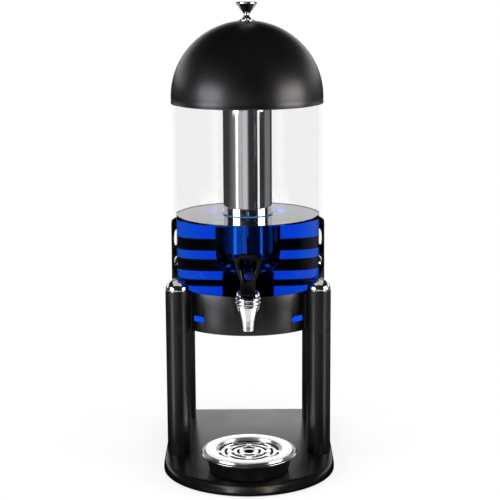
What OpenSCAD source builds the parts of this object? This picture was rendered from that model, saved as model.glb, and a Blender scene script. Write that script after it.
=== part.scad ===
// Counter-top juice dispenser: a clear container in a slotted steel holder on
// four columns, with a chilled core, a domed lid, a self-closing tap and a
// drip tray. Millimetres, +Z up, front towards -Y. The origin is on the
// counter, in the middle of the base.

/* [Base] */
// Width of the base's edge outside the columns
base_margin = 4; // [1:0.5:20]
// Width of the base's edge in front of the drip tray
base_toe = 5.3; // [1:0.1:40]
// Width of the base's edge behind the drum
base_heel = 3; // [0.5:0.5:30]
// Height of the base plate
base_t = 12.8; // [11:0.1:20]
// Sheet thickness of the base pan
base_wall = 3; // [2:0.5:5]
// Height of the rounding of the base's edge
base_round = 9.6; // [4:0.2:10]
// Diameter of a rubber foot
foot_d = 18; // [12:1:26]
// Height of a foot below the base
foot_out = 1.2; // [1:0.1:8]
// Depth of the pocket that holds a foot
foot_in = 3; // [1:0.5:5]

/* [Columns] */
// Outside diameter of the columns and sleeves
column_d = 31.6; // [24:0.2:40]
// Wall of the column tubes
column_wall = 2; // [1.5:0.1:3]
// Length of a column below the drum
column_h = 166; // [120:1:240]
// Angle of the front columns from the front, seen from above
column_angle = 49.7; // [40:0.1:60]
// Gap between the drum and a column
column_gap = 1.74; // [0.5:0.02:8]
// Height of the sleeves beside the drum
sleeve_h = 56; // [50:1:80]
// Length of the spigot on a sleeve, inside its column
spigot_h = 14; // [8:1:30]
// Thickness of a sleeve's top plug
plug_t = 6; // [4:0.5:10]
// Diameter of a chrome ball cap
cap_d = 30.6; // [22:0.2:31]
// Diameter of a tie rod
rod_d = 8; // [6:0.5:10]
// Width across the flats of a tie-rod nut
nut_af = 13; // [11:0.5:15]
// Height of a tie-rod nut
nut_h = 6; // [4:0.5:7]
// Tangential width of the weld gussets
gusset_w = 20; // [10:1:24]

/* [Holder drum] */
// Gap between the container and the drum
drum_gap = 2.5; // [1:0.1:6]
// Sheet thickness of the drum
drum_wall = 1.5; // [1:0.1:2]
// Height of the drum at the back
drum_h = 134; // [125:1:160]
// Height of the front band
band_h = 51.5; // [48:0.5:60]
// Rounding of the lower corners of the front window
window_r = 36; // [15:1:50]
// Rounding of the upper corners of the back shell
shell_r = 10; // [4:1:16]
// Height of a slot
slot_h = 12; // [8:0.5:14]
// Height of the bottom rail, below the lowest slots
rail_h = 12; // [8:0.5:16]
// Height of the top rail, above the highest slots
top_rail = 16.75; // [8:0.25:24]
// Height of the slots in the top row
top_slot_h = 22; // [10:0.5:26]
// Thickness of the seat ring
seat_t = 3; // [2:0.5:5]
// Inside diameter of the seat ring
seat_id = 140; // [100:1:170]
// Thickness of the rubber seat pad
pad_t = 2; // [1:0.5:4]

/* [Container] */
// Outside diameter of the container
container_d = 200; // [160:1:240]
// Wall of the container
container_wall = 4; // [3:0.5:5]
// Floor of the container
floor_t = 5; // [4:0.5:8]
// Height of the container
container_h = 297; // [260:1:340]
// Depth of the juice
juice_h = 133.2; // [115:0.1:200]

/* [Chilled core] */
// Outside diameter of the ice tube
tube_d = 65.6; // [60:0.2:72]
// Wall of the ice tube
tube_wall = 1.5; // [1:0.1:2]
// Distance from the container's mouth down to the tube's rim
tube_drop = 12; // [6:1:30]
// Thickness of the tube's rolled rim
tube_bead = 3.6; // [2:0.2:5]
// Diameter of the core seat
core_d = 52; // [48:0.5:56]
// Height of the core seat
core_h = 56; // [50:1:60]
// Wall of the core seat round the tube's spigot
core_wall = 4.5; // [3:0.5:7]
// Height of that spigot
core_spigot_h = 4; // [3:0.5:8]
// Height of the tube's rounded shoulder
shoulder_h = 28; // [20:1:36]
// Thickness of the tube's foot cushion
cushion_t = 1.5; // [1:0.5:3]
// Diameter of the screw that holds the core seat
core_screw_d = 6; // [5:0.5:8]

/* [Lid] */
// Gap between the container and the dome's skirt
skirt_gap = 0.8; // [0.6:0.1:3]
// Wall of the dome
dome_wall = 2.6; // [2:0.1:3.5]
// Wall of the dome's skirt
skirt_wall = 1; // [0.8:0.1:1.4]
// Height of the dome's straight skirt
skirt_h = 11; // [8:0.5:20]
// Thickness of the bead round the dome's rim
bead_d = 1.6; // [1:0.2:2.4]
// Diameter of the flat on top of the dome
flat_d = 23; // [18:0.5:26]
// Thickness of the lid's locating ring
ring_t = 2.5; // [2:0.1:4]
// Depth of the ring's spigot inside the container
ring_drop = 10; // [6:0.5:16]
// Thickness of the gasket
gasket_t = 2; // [1:0.2:3]
// Diameter of the knob at the top
knob_d = 27.7; // [22:0.1:32]
// Diameter of the knob's waist
knob_waist_d = 7.2; // [7:0.1:10]
// Diameter of the knob's foot
knob_foot_d = 20.6; // [16:0.1:22]
// Height of the knob
knob_h = 23.4; // [18:0.1:30]
// Diameter of the knob's screw
knob_screw_d = 4; // [3:0.5:5]

/* [Tap] */
// Height of the tap's inlet above the container's floor
tap_up = 31.7; // [26:0.1:33]
// Distance from the container's wall forward to the spout's axis
tap_reach = 42; // [37:0.5:55]
// Bore of the spout
spout_bore = 11; // [8:0.5:12]
// Diameter of the nozzle's end
nozzle_d = 15; // [14:0.1:18]
// Length of the spout below the inlet
spout_h = 24.4; // [20:0.1:30]
// Diameter of the valve chamber
chamber_d = 16; // [15:0.5:17]
// Wall of the body's neck
neck_wall = 4.9; // [3:0.1:6]
// Width of the body's upper ring outside its neck
body_ring_w = 2; // [1:0.1:3]
// Wall of the collar outside the bonnet
collar_wall = 2.3; // [1.6:0.1:4]
// Height of the collar
collar_h = 10; // [9:0.5:12]
// Outside diameter of the shank
shank_d = 16; // [15:0.5:17]
// Bore of the shank
shank_bore = 8; // [6:0.5:10]
// Diameter of the outer washer
washer_d = 33; // [30:0.5:34]
// Thickness of the outer washer in the middle
washer_t = 3.5; // [3:0.1:5]
// Diameter of the valve stem
stem_d = 5; // [4:0.1:5.4]
// Diameter of the lever's pin
pin_d = 4; // [3:0.1:5]
// Gap between the stem's head and the lever
head_gap = 0.8; // [0.5:0.1:1.2]
// Thickness of the lever
lever_t = 7; // [5:0.5:8]
// Width of the lever's neck
neck_w = 19; // [16:0.2:19.2]
// Width of the lever at the top
lever_w = 35.2; // [28:0.2:42]
// Height of the lever above the inlet
lever_h = 76.4; // [66:0.2:90]
// Diameter of the cold mark
dot_d = 9; // [6:0.5:11]

/* [Drip tray] */
// Diameter of the grille plate
grille_d = 114; // [96:0.5:130]
// Diameter of the grille's sunk middle
sunk_d = 85; // [80:0.5:92]
// Depth of the sunk middle
sunk_h = 4; // [2:0.5:5]
// Thickness of the grille's sheet
grille_t = 1.5; // [1:0.1:2]
// Height of the grille's top above the rim's seat
grille_up = 4; // [3.6:0.1:9]
// Width of an arc slot
arc_w = 4.2; // [3:0.2:5]
// Distance between the rings of slots
arc_pitch = 8; // [7:0.2:8.4]
// Width of the chrome rim
rim_w = 4.2; // [3:0.1:8]
// Height of the chrome rim
rim_h = 2.6; // [2.4:0.1:3.4]
// Distance from the grille's edge in to the bowl's wall
lip_in = 1.5; // [1:0.1:8]
// How far the bowl draws in from its top to its foot
bowl_taper = 4.5; // [0:0.5:12]
// Height of the bowl
bowl_h = 22; // [14:0.5:40]
// Wall of the bowl
bowl_wall = 2; // [1.5:0.1:3]

/* [Clearances] */
// Gap under a piece that rests on another and lifts off
rest_gap = 0.3; // [0.2:0.05:0.5]
// Radial running clearance of the lever on its pin
pin_play = 0.06; // [0.03:0.01:0.1]
// Radial running clearance of the stem in its gland
stem_play = 0.08; // [0.03:0.01:0.1]
// Clearance of the notch in the drum round the washer
notch_play = 1; // [0.5:0.1:2]
// Clearance between the juice and what stands in it
juice_play = 0.4; // [0.3:0.1:1]
// Clearance of a fixing in its hole
hole_play = 0.3; // [0.2:0.1:0.6]

/* [Hidden] */
$fn = 72;
eps = 0.01;
cont_r = container_d / 2;
cont_in = cont_r - container_wall;
drum_in = cont_r + drum_gap;
drum_r = drum_in + drum_wall;
col_r = column_d / 2;
col_in = col_r - column_wall;
col_out = drum_r + column_gap + col_r;
column_x = col_out * sin(column_angle);
column_y = col_out * cos(column_angle);
tap_out = cont_r + tap_reach;
rim_in = grille_d / 2 + 0.5;
rim_r = rim_in + rim_w;
bowl_r = grille_d / 2 - lip_in;
base_w = 2 * (column_x + col_r + base_margin);
base_front = tap_out + rim_r + base_toe;
base_back = drum_r + base_heel;
base_depth = base_front + base_back;
base_straight = base_depth - base_w / 2;
axis_y = base_depth / 2 - base_back;
front_y = base_w / 2 - base_depth / 2;
z_base = foot_out;
z_top = z_base + base_t;
z_drum = z_top + column_h;
z_band = z_drum + band_h;
z_shell = z_drum + drum_h;
z_sleeve = z_drum + sleeve_h;
z_seat = z_drum + seat_t;
z_pad = z_seat + pad_t;
z_cont = z_pad + rest_gap;
z_floor = z_cont + floor_t;
z_mouth = z_cont + container_h;
z_juice = z_floor + juice_h;
// slot rows: height of each row's lower edge
slot_pitch = (drum_h - rail_h - top_rail - top_slot_h) / 3;
slot_rows = [for (i = [0 : 3]) z_drum + rail_h + i * slot_pitch];
// core
z_core = z_floor + core_h;
z_tube = z_core + rest_gap + cushion_t;
z_rim = z_mouth - tube_drop;
tube_r = tube_d / 2;
core_r = core_d / 2;
core_spigot_r = core_r - core_wall;
// lid
z_gasket = z_mouth + rest_gap;
z_ring = z_gasket + gasket_t;
z_step = z_ring + ring_t;
skirt_in = cont_r + skirt_gap;
dome_r = skirt_in + skirt_wall;
z_dome = z_mouth;
z_flat = z_dome + sqrt(pow(dome_r, 2) - pow(flat_d / 2, 2));
z_under = z_flat - dome_wall - 0.6;
// tap, in its own frame: the spout's axis is z, the inlet's axis is at 0
z_tap = z_floor + tap_up;
z_neck = 10;
z_collar = z_neck + collar_h;
z_pin = z_collar + 3.5;
chamber_r = chamber_d / 2;
neck_r = chamber_r + neck_wall;
bonnet_r = neck_r + 1.6;
collar_r = bonnet_r + collar_wall;
head_r = stem_d / 2 + 1.7;
finger_in = stem_d / 2 + 0.6;
finger_w = 3.1;
finger_out = head_r + head_gap + lever_t / 2;
pin_y = -finger_out;
lever_back = -finger_out + lever_t / 2;
lever_front = -finger_out - lever_t / 2;
finger_r = 1.3;
finger_z = z_collar - 1.8;
head_z = finger_z + finger_r + 0.4;
washer_r = washer_d / 2;
notch_r = washer_r + notch_play;
shank_r = shank_d / 2;
wall_y = tap_out - cont_r;
// drip tray
z_bowl = z_top + rest_gap;
z_lip = z_bowl + bowl_h;

black = [0.1, 0.1, 0.11];
soot = [0.05, 0.05, 0.055];
chrome = [0.82, 0.83, 0.85];
steel = [0.72, 0.73, 0.75];
clear = [0.86, 0.9, 0.94, 0.35];
blue = [0.02, 0.24, 0.85, 0.75];
mark = [0.06, 0.08, 0.6];
rubber = [0.07, 0.07, 0.07];

// A cylinder between two heights
module rod(r, z0, z1) {
  translate([0, 0, z0]) cylinder(r = r, h = z1 - z0);
}

// A plain ring between two heights
module ring(ro, ri, z0, z1) {
  difference() {
    rod(ro, z0, z1);
    rod(ri, z0 - 1, z1 + 1);
  }
}

// A cylinder along Y between two depths, on an axis at height z
module bar_y(r, y0, y1, z = 0) {
  translate([0, y0, z]) rotate([-90, 0, 0]) cylinder(r = r, h = y1 - y0);
}

// A cylinder along X, centred
module bar_x(r, len, y, z) {
  translate([-len / 2, y, z]) rotate([0, 90, 0]) cylinder(r = r, h = len);
}

// Moves a child onto the drum's axis
module on_axis() {
  translate([0, axis_y, 0]) children();
}

// Moves a child to the tap's own frame
module on_tap() {
  translate([0, axis_y - tap_out, z_tap]) children();
}

// Moves a child to the drip tray's middle
module on_tray() {
  translate([0, axis_y - tap_out, 0]) children();
}

// Puts a child on each column's axis
module on_columns() {
  for (sx = [-1, 1], sy = [-1, 1])
    translate([sx * column_x, axis_y + sy * column_y, 0]) children();
}

// Puts a child at each foot
module on_feet() {
  for (sx = [-1, 1]) {
    translate([sx * base_w * 0.3, base_depth / 2 - base_w * 0.1, 0]) children();
    translate([sx * base_w * 0.3, front_y - base_w * 0.2, 0]) children();
  }
}

// The base's outline, drawn in by a margin
module base_outline(m) {
  translate([0, front_y]) circle(r = base_w / 2 - m, $fn = 144);
  translate([-base_w / 2 + m, front_y]) square([base_w - 2 * m, base_straight - m]);
}

// The base's edge, from its foot over the round to the flat top that starts at the columns
function base_edge() = [for (a = [0 : 15 : 90])
  [base_w / 2 - base_margin * (1 - cos(a)), z_top - base_round * (1 - sin(a))]];

// Pressed pan with a round front, a rounded edge and solid bosses
module base_plate() {
  edge = base_edge();
  color(black) difference() {
    union() {
      difference() {
        union() {
          translate([0, front_y, 0]) rotate_extrude($fn = 144)
            polygon(concat([[0, z_base], [base_w / 2, z_base]], edge, [[0, z_top]]));
          translate([0, front_y + base_straight, 0]) rotate([90, 0, 0]) linear_extrude(base_straight)
            polygon(concat([[-base_w / 2, z_base], [base_w / 2, z_base]], edge,
              [for (i = [len(edge) - 1 : -1 : 0]) [-edge[i][0], edge[i][1]]]));
        }
        translate([0, 0, z_base - 1]) linear_extrude(base_t - base_wall + 1)
          base_outline(base_wall + base_margin * 0.3);
      }
      on_columns() rod(col_r - 1, z_base, z_top - 1);
      on_feet() rod(foot_d / 2 + 3, z_base, z_top - 1);
    }
    on_columns() rod(nut_af / 2 + 3, z_base - 1, z_base + nut_h + 0.5);
    on_columns() rod(rod_d / 2 + hole_play, z_base, z_top + 1);
    on_feet() rod(foot_d / 2, z_base - 1, z_base + foot_in);
  }
}

// Rubber pads set in pockets under the base
module base_feet() {
  color(rubber) on_feet() rod(foot_d / 2, 0, z_base + foot_in);
}

// Lower column tube, from the base to the seam under the drum
module column(sx, sy) {
  color(black) translate([sx * column_x, axis_y + sy * column_y, 0])
    ring(col_r, col_in, z_top, z_drum);
}

module column_front_left() { column(-1, -1); }
module column_front_right() { column(1, -1); }
module column_rear_left() { column(-1, 1); }
module column_rear_right() { column(1, 1); }

// Upper sleeve with its plug, the spigot in the column and the gusset to the drum
module sleeve(sx, sy) {
  color(black) difference() {
    union() {
      translate([sx * column_x, axis_y + sy * column_y, 0]) {
        difference() {
          rod(col_r, z_drum, z_sleeve);
          rod(col_in - column_wall, z_drum - 1, z_sleeve - plug_t);
        }
        ring(col_in, col_in - column_wall, z_drum - spigot_h, z_drum + 1);
      }
      on_axis() rotate([0, 0, atan2(sy * column_y, sx * column_x)])
        translate([drum_r - 2, -gusset_w / 2, z_drum + 1.5])
          cube([2 + column_gap + col_r, gusset_w, band_h - 3]);
    }
    on_axis() rod(drum_r, z_drum - 1, z_sleeve + 1);
    translate([sx * column_x, axis_y + sy * column_y, 0]) {
      rod(rod_d / 2 + hole_play, z_drum, z_sleeve + 1);
      rod(col_in - column_wall, z_drum - spigot_h - 1, z_sleeve - plug_t);
    }
  }
}

module sleeve_front_left() { sleeve(-1, -1); }
module sleeve_front_right() { sleeve(1, -1); }
module sleeve_rear_left() { sleeve(-1, 1); }
module sleeve_rear_right() { sleeve(1, 1); }

// Chrome ball cap, screwed on the tie rod
module cap(sx, sy) {
  color(chrome) translate([sx * column_x, axis_y + sy * column_y, 0]) difference() {
    union() {
      difference() {
        translate([0, 0, z_sleeve]) sphere(d = cap_d);
        translate([0, 0, z_sleeve - cap_d]) cylinder(d = cap_d + 4, h = cap_d + 1);
      }
      rod(cap_d / 2 - 1.6, z_sleeve, z_sleeve + 2);
    }
    rod(rod_d / 2, z_sleeve - 1, z_sleeve + cap_d * 0.28);
  }
}

module cap_front_left() { cap(-1, -1); }
module cap_front_right() { cap(1, -1); }
module cap_rear_left() { cap(-1, 1); }
module cap_rear_right() { cap(1, 1); }

// Tie rods that clamp base, column, sleeve and cap together
module tie_rods() {
  color(steel) on_columns() rod(rod_d / 2, z_base + 0.6, z_sleeve + cap_d * 0.28);
}

// Hexagon nuts under the base
module base_nuts() {
  color(steel) on_columns() difference() {
    translate([0, 0, z_base + 0.5]) cylinder(d = nut_af / cos(30), h = nut_h, $fn = 6);
    rod(rod_d / 2, z_base, z_base + nut_h + 1);
  }
}

// One slot through the drum, from angle a0 to a1 counted from the front, with round ends
module drum_slot(a0, a1, z, h) {
  e = asin(h / 2 / drum_r);
  translate([0, 0, z]) rotate([0, 0, -90 + a0 + e]) rotate_extrude(angle = a1 - a0 - 2 * e)
    translate([drum_in - 4, 0]) square([drum_wall + 8, h]);
  for (a = [a0 + e, a1 - e])
    rotate([0, 0, a]) bar_y(h / 2 - 0.05, -drum_r - 4, -drum_in + 4, z + h / 2);
}

// Rolled sheet drum: a low band in front, a tall slotted shell behind
module holder_drum() {
  wx = drum_r + 0.1 - window_r;
  color(black) on_axis() difference() {
    ring(drum_r, drum_in, z_drum, z_shell, $fn = 144);
    translate([-wx, -drum_r - 5, z_band]) cube([2 * wx, drum_r + 5, drum_h]);
    translate([-drum_r - 5, -drum_r - 5, z_band + window_r]) cube([2 * drum_r + 10, drum_r + 5, drum_h]);
    for (s = [-1, 1]) translate([s * wx, 0, 0]) bar_y(window_r, -drum_r - 5, 0, z_band + window_r);
    difference() {
      translate([-drum_r - 5, -1, z_shell - shell_r]) cube([2 * drum_r + 10, shell_r + 1, shell_r + 1]);
      bar_x(shell_r, 2 * drum_r + 20, shell_r, z_shell - shell_r);
    }
    bar_y(notch_r, -drum_r - 5, -drum_r / 2, z_tap);
    translate([-notch_r, -drum_r - 5, z_tap]) cube([2 * notch_r, drum_r / 2, drum_h]);
    for (s = [-1, 1]) {
      drum_slot(s > 0 ? 33.5 : 314, s > 0 ? 46 : 326.5, slot_rows[0], slot_h);
      drum_slot(s > 0 ? 56 : 236, s > 0 ? 124 : 304, slot_rows[0], slot_h);
      for (i = [1, 2])
        drum_slot(s > 0 ? 99 : 237, s > 0 ? 123 : 261, slot_rows[i], slot_h);
      drum_slot(s > 0 ? 99 : 237, s > 0 ? 123 : 261, slot_rows[3], top_slot_h);
    }
    for (i = [0 : 2]) drum_slot(137, 223, slot_rows[i], slot_h);
    drum_slot(137, 223, slot_rows[3], top_slot_h);
  }
}

// Ring welded inside the drum's foot, which carries the vessel
module seat_ring() {
  color(black) on_axis() ring(drum_in, seat_id / 2, z_drum, z_seat);
}

// Rubber ring between the seat ring and the container
module seat_pad() {
  color(rubber) on_axis() ring(drum_in - 4, seat_id / 2 + 3, z_seat, z_pad);
}

// Clear container with a hole for the tap and one for the core's screw
module container() {
  color(clear) on_axis() difference() {
    rod(cont_r, z_cont, z_mouth, $fn = 144);
    rod(cont_in, z_floor, z_mouth + 1, $fn = 144);
    bar_y(shank_r, -cont_r - 5, -cont_in + 5, z_tap);
    rod(core_screw_d / 2 + hole_play, z_cont - 1, z_floor + 1);
  }
}

// Juice standing in the container, round the core
module juice_fill() {
  color(blue) on_axis() difference() {
    rod(cont_in, z_floor, z_juice, $fn = 144);
    rod(core_r + juice_play, z_floor - 1, z_tube);
    tube_form(juice_play);
    bar_y(tap_nut_r() + juice_play, -cont_r, -cont_in + 12.5, z_tap);
  }
}

function tap_nut_r() = shank_r + 6;

// Seat on the container's floor that holds the core upright
module core_seat() {
  color(soot) on_axis() difference() {
    rod(core_r, z_floor, z_core);
    rod(core_spigot_r + 0.5, z_core - core_spigot_h - 1, z_core + 1);
    rod(core_screw_d / 2, z_floor - 1, z_floor + core_h * 0.35);
  }
}

// Sealing washer under the container's floor
module core_washer() {
  color(rubber) on_axis() ring(core_screw_d * 2, core_screw_d / 2, z_cont - 1.5, z_cont);
}

// Pan-head screw from below into the core seat
module core_screw() {
  color(steel) on_axis() {
    rod(core_screw_d / 2, z_cont - 2, z_floor + core_h * 0.33);
    rod(core_screw_d, z_cont - 1.5 - core_screw_d * 0.55, z_cont - 1.5);
  }
}

// The ice tube's outer form, grown by a margin
module tube_form(m) {
  r1 = core_r - 0.5;
  rotate_extrude($fn = 96) polygon([
    [0, z_tube - core_spigot_h - cushion_t - m],
    [core_spigot_r + m, z_tube - core_spigot_h - cushion_t - m],
    [core_spigot_r + m, z_tube - m],
    [r1 + m, z_tube - m],
    [r1 + m, z_tube + shoulder_h * 0.11],
    [r1 + (tube_r - r1) * 0.55 + m, z_tube + shoulder_h * 0.32],
    [r1 + (tube_r - r1) * 0.88 + m, z_tube + shoulder_h * 0.61],
    [tube_r + m, z_tube + shoulder_h],
    [tube_r + m, z_rim],
    [0, z_rim]]);
}

// Chromed tube for ice, with a rounded shoulder and a closed foot
module ice_tube() {
  r1 = core_r - 0.5;
  w = tube_wall;
  color(chrome) on_axis() difference() {
    tube_form(0);
    rotate_extrude($fn = 96) polygon([
      [0, z_tube + w],
      [r1 - w, z_tube + w],
      [r1 - w, z_tube + shoulder_h * 0.13],
      [r1 + (tube_r - r1) * 0.55 - w, z_tube + shoulder_h * 0.36],
      [r1 + (tube_r - r1) * 0.88 - w, z_tube + shoulder_h * 0.64],
      [tube_r - w, z_tube + shoulder_h],
      [tube_r - w, z_rim + 1],
      [0, z_rim + 1]]);
  }
}

// Rolled rim on top of the ice tube
module tube_rim() {
  color(chrome) on_axis() rotate_extrude($fn = 96)
    translate([tube_r - tube_wall / 2, z_rim + tube_bead / 2]) circle(d = tube_bead, $fn = 24);
}

// Silicone cushion round the tube's spigot
module tube_cushion() {
  color(rubber) on_axis() ring(core_r - 1, core_spigot_r, z_tube - cushion_t, z_tube);
}

// Spun dome with a straight skirt, a beaded rim and a flat for the knob
module lid_dome() {
  color(black) on_axis() difference() {
    union() {
      intersection() {
        translate([0, 0, z_dome]) sphere(r = dome_r, $fn = 128);
        rod(dome_r + 1, z_dome, z_flat, $fn = 128);
      }
      rod(dome_r, z_dome - skirt_h, z_dome, $fn = 128);
      rotate_extrude($fn = 128) translate([dome_r - bead_d / 2 + 0.3, z_dome - skirt_h + bead_d / 2])
        circle(d = bead_d, $fn = 20);
    }
    intersection() {
      translate([0, 0, z_dome]) sphere(r = dome_r - dome_wall, $fn = 128);
      rod(dome_r, z_step, z_under, $fn = 128);
    }
    rod(skirt_in, z_dome - skirt_h - 1, z_step, $fn = 128);
    rod(knob_screw_d / 2 + hole_play, z_under - 1, z_flat + 1);
  }
}

// Locating ring: a flange on the container's rim and a spigot inside it
module lid_ring() {
  color(soot) on_axis() {
    ring(skirt_in - 0.2, cont_in - 4, z_ring, z_step, $fn = 128);
    ring(cont_in - 1, cont_in - 4, z_mouth - ring_drop, z_step, $fn = 128);
  }
}

// Soft gasket under the ring's flange
module lid_gasket() {
  color(rubber) on_axis() ring(cont_r - 0.3, cont_in - 1, z_gasket, z_ring);
}

// Double-cone knob
module lid_knob() {
  z1 = z_flat + knob_h;
  zw = z_flat + knob_h * 0.34;
  color(chrome) on_axis() difference() {
    rotate_extrude() polygon([
      [0, z_flat], [knob_foot_d / 2, z_flat], [knob_foot_d / 2, z_flat + 0.8],
      [knob_waist_d / 2, zw - 0.6], [knob_waist_d / 2, zw + 0.6],
      [knob_d / 2, z1 - 1.8], [knob_d / 2, z1 - 0.5], [knob_d / 2 - 0.5, z1], [0, z1]]);
    rod(knob_screw_d / 2, z_flat - 1, z_flat + knob_h * 0.55);
  }
}

// Washer under the dome's top
module knob_washer() {
  color(rubber) on_axis() ring(knob_screw_d * 1.9, knob_screw_d / 2, z_under - 1.5, z_under);
}

// Screw from inside the dome into the knob
module knob_screw() {
  color(steel) on_axis() {
    rod(knob_screw_d / 2, z_under - 2, z_flat + knob_h * 0.5);
    rod(knob_screw_d, z_under - 1.5 - knob_screw_d * 0.6, z_under - 1.5);
  }
}

// Chromed tap body: spout, valve chamber, neck, and the inlet branch with its flange
module tap_body() {
  rb = neck_r + body_ring_w;
  color(chrome) on_tap() difference() {
    union() {
      rotate_extrude() polygon([
        [0, -spout_h], [nozzle_d / 2 - 0.6, -spout_h], [nozzle_d / 2, -spout_h + 0.6],
        [nozzle_d / 2 + 0.3, -spout_h * 0.76], [nozzle_d / 2 + 1.15, -spout_h * 0.43],
        [chamber_r + 2.2, -spout_h * 0.135], [chamber_r + 3.9, 3], [chamber_r + 5, 6.6],
        [rb, 7.4], [rb, z_neck - 1], [rb - 1, z_neck], [neck_r, z_neck],
        [neck_r, z_neck + 6], [0, z_neck + 6]]);
      bar_y(shank_r + 2, 2, wall_y - washer_t);
      bar_y(washer_r - 2, wall_y - washer_t - 3, wall_y - washer_t);
    }
    rotate_extrude() polygon([
      [0, -spout_h - 1], [spout_bore / 2, -spout_h - 1], [spout_bore / 2, -spout_h / 3],
      [chamber_r, -spout_h / 3 + 3], [chamber_r, z_neck + 7], [0, z_neck + 7]]);
    bar_y(shank_bore / 2, 0, wall_y);
    bar_y(shank_r, chamber_r + 6, wall_y);
  }
}

// Threaded shank through the container's wall
module tap_shank() {
  color(chrome) on_tap() difference() {
    bar_y(shank_r, chamber_r + 6, wall_y + container_wall + 12);
    bar_y(shank_bore / 2, chamber_r, wall_y + container_wall + 13);
  }
}

// Black washer between the tap's flange and the container's round outside
module tap_washer_outer() {
  color(soot) on_tap() difference() {
    bar_y(washer_r, wall_y - washer_t, wall_y + 4);
    bar_y(shank_r, wall_y - washer_t - 1, wall_y + 5);
    translate([0, tap_out, 0]) rod(cont_r, -washer_d, washer_d, $fn = 144);
  }
}

// Silicone washer against the container's round inside
module tap_washer_inner() {
  color(rubber) on_tap() difference() {
    intersection() {
      bar_y(shank_r + 5, wall_y, wall_y + container_wall + 3);
      translate([0, tap_out, 0]) rod(cont_in, -washer_d, washer_d, $fn = 144);
    }
    bar_y(shank_r, wall_y - 1, wall_y + container_wall + 4);
  }
}

// Hexagon nut on the shank, inside the container
module tap_nut() {
  color(steel) on_tap() difference() {
    translate([0, wall_y + container_wall + 3, 0]) rotate([-90, 0, 0])
      cylinder(r = tap_nut_r() - 0.3, h = 7, $fn = 6);
    bar_y(shank_r, wall_y, wall_y + container_wall + 11);
  }
}

// Collar of two round beads, screwed on the body's neck
module tap_collar() {
  rc = collar_r;
  color(chrome) on_tap() difference() {
    rotate_extrude() polygon([
      [0, z_neck], [rc - 1.4, z_neck], [rc - 0.5, z_neck + 0.5], [rc, z_neck + 1.6],
      [rc, z_neck + 3], [rc - 0.4, z_neck + 4.1], [rc - 1, z_neck + collar_h / 2 - 0.2],
      [rc - 1, z_neck + collar_h / 2 + 0.2], [rc - 0.4, z_collar - 4.1], [rc, z_collar - 3],
      [rc, z_collar - 1.6], [rc - 0.5, z_collar - 0.5], [rc - 1.4, z_collar], [0, z_collar]]);
    rod(neck_r, z_neck - 1, z_neck + 6);
    rod(bonnet_r, z_neck + 6, z_collar + 1);
  }
}

// Domed bonnet with a front slot for the lever and cheeks for the pin
module tap_bonnet() {
  rs = bonnet_r;
  ri = neck_r - 0.9;
  color(chrome) on_tap() difference() {
    rotate_extrude() polygon([
      [0, z_neck + 6], [rs, z_neck + 6], [rs, z_collar], [collar_r - 0.8, z_collar],
      [collar_r - 1, z_collar + 2], [collar_r - 1.9, z_collar + 4.5],
      [collar_r - 3.8, z_collar + 6.8], [collar_r - 6.3, z_collar + 8.4],
      [collar_r - 7.8, z_collar + 8.7], [0, z_collar + 8.7]]);
    rotate_extrude() polygon([
      [0, z_neck + 5], [ri, z_neck + 5], [ri, z_collar + 3.5], [ri - 1.5, z_collar + 5.5],
      [ri - 4, z_collar + 6.9], [0, z_collar + 6.9]]);
    translate([-neck_w / 2 - 0.4, -2 * collar_r, z_collar - 2.5])
      cube([neck_w + 0.8, 2 * collar_r + lever_back + 0.5, 20]);
    bar_x(pin_d / 2, 2 * collar_r, pin_y, z_pin);
  }
}

// Gland that closes the chamber and guides the stem
module stem_gland() {
  color(rubber) on_tap() ring(chamber_r, stem_d / 2 + stem_play, z_neck - 0.5, z_neck + 4);
}

// Pin through the bonnet's cheeks and the lever
module lever_pin() {
  color(steel) on_tap() bar_x(pin_d / 2, neck_w + 5, pin_y, z_pin);
}

// The lever's face: neck, flared loop and rounded top
module lever_face() {
  w0 = neck_w / 2;
  w1 = lever_w / 2;
  zl = z_pin;
  zn = lever_h - 34;
  hull() {
    translate([-w1 + 4, lever_h - 8]) circle(r = 4, $fn = 32);
    translate([w1 - 4, lever_h - 8]) circle(r = 4, $fn = 32);
    translate([-w1 * 0.4, lever_h - 5]) circle(r = 5, $fn = 32);
    translate([w1 * 0.4, lever_h - 5]) circle(r = 5, $fn = 32);
    translate([-w1 + 3.4, lever_h - 12]) square([2 * w1 - 6.8, 1]);
  }
  polygon([[-w0, zl], [w0, zl], [w0, zn], [w0 + (w1 - w0) * 0.29, zn + 5],
    [w0 + (w1 - w0) * 0.59, zn + 14], [w0 + (w1 - w0) * 0.83, zn + 22],
    [w1, lever_h - 8], [-w1, lever_h - 8], [-w0 - (w1 - w0) * 0.83, zn + 22],
    [-w0 - (w1 - w0) * 0.59, zn + 14], [-w0 - (w1 - w0) * 0.29, zn + 5], [-w0, zn]]);
}

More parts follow.
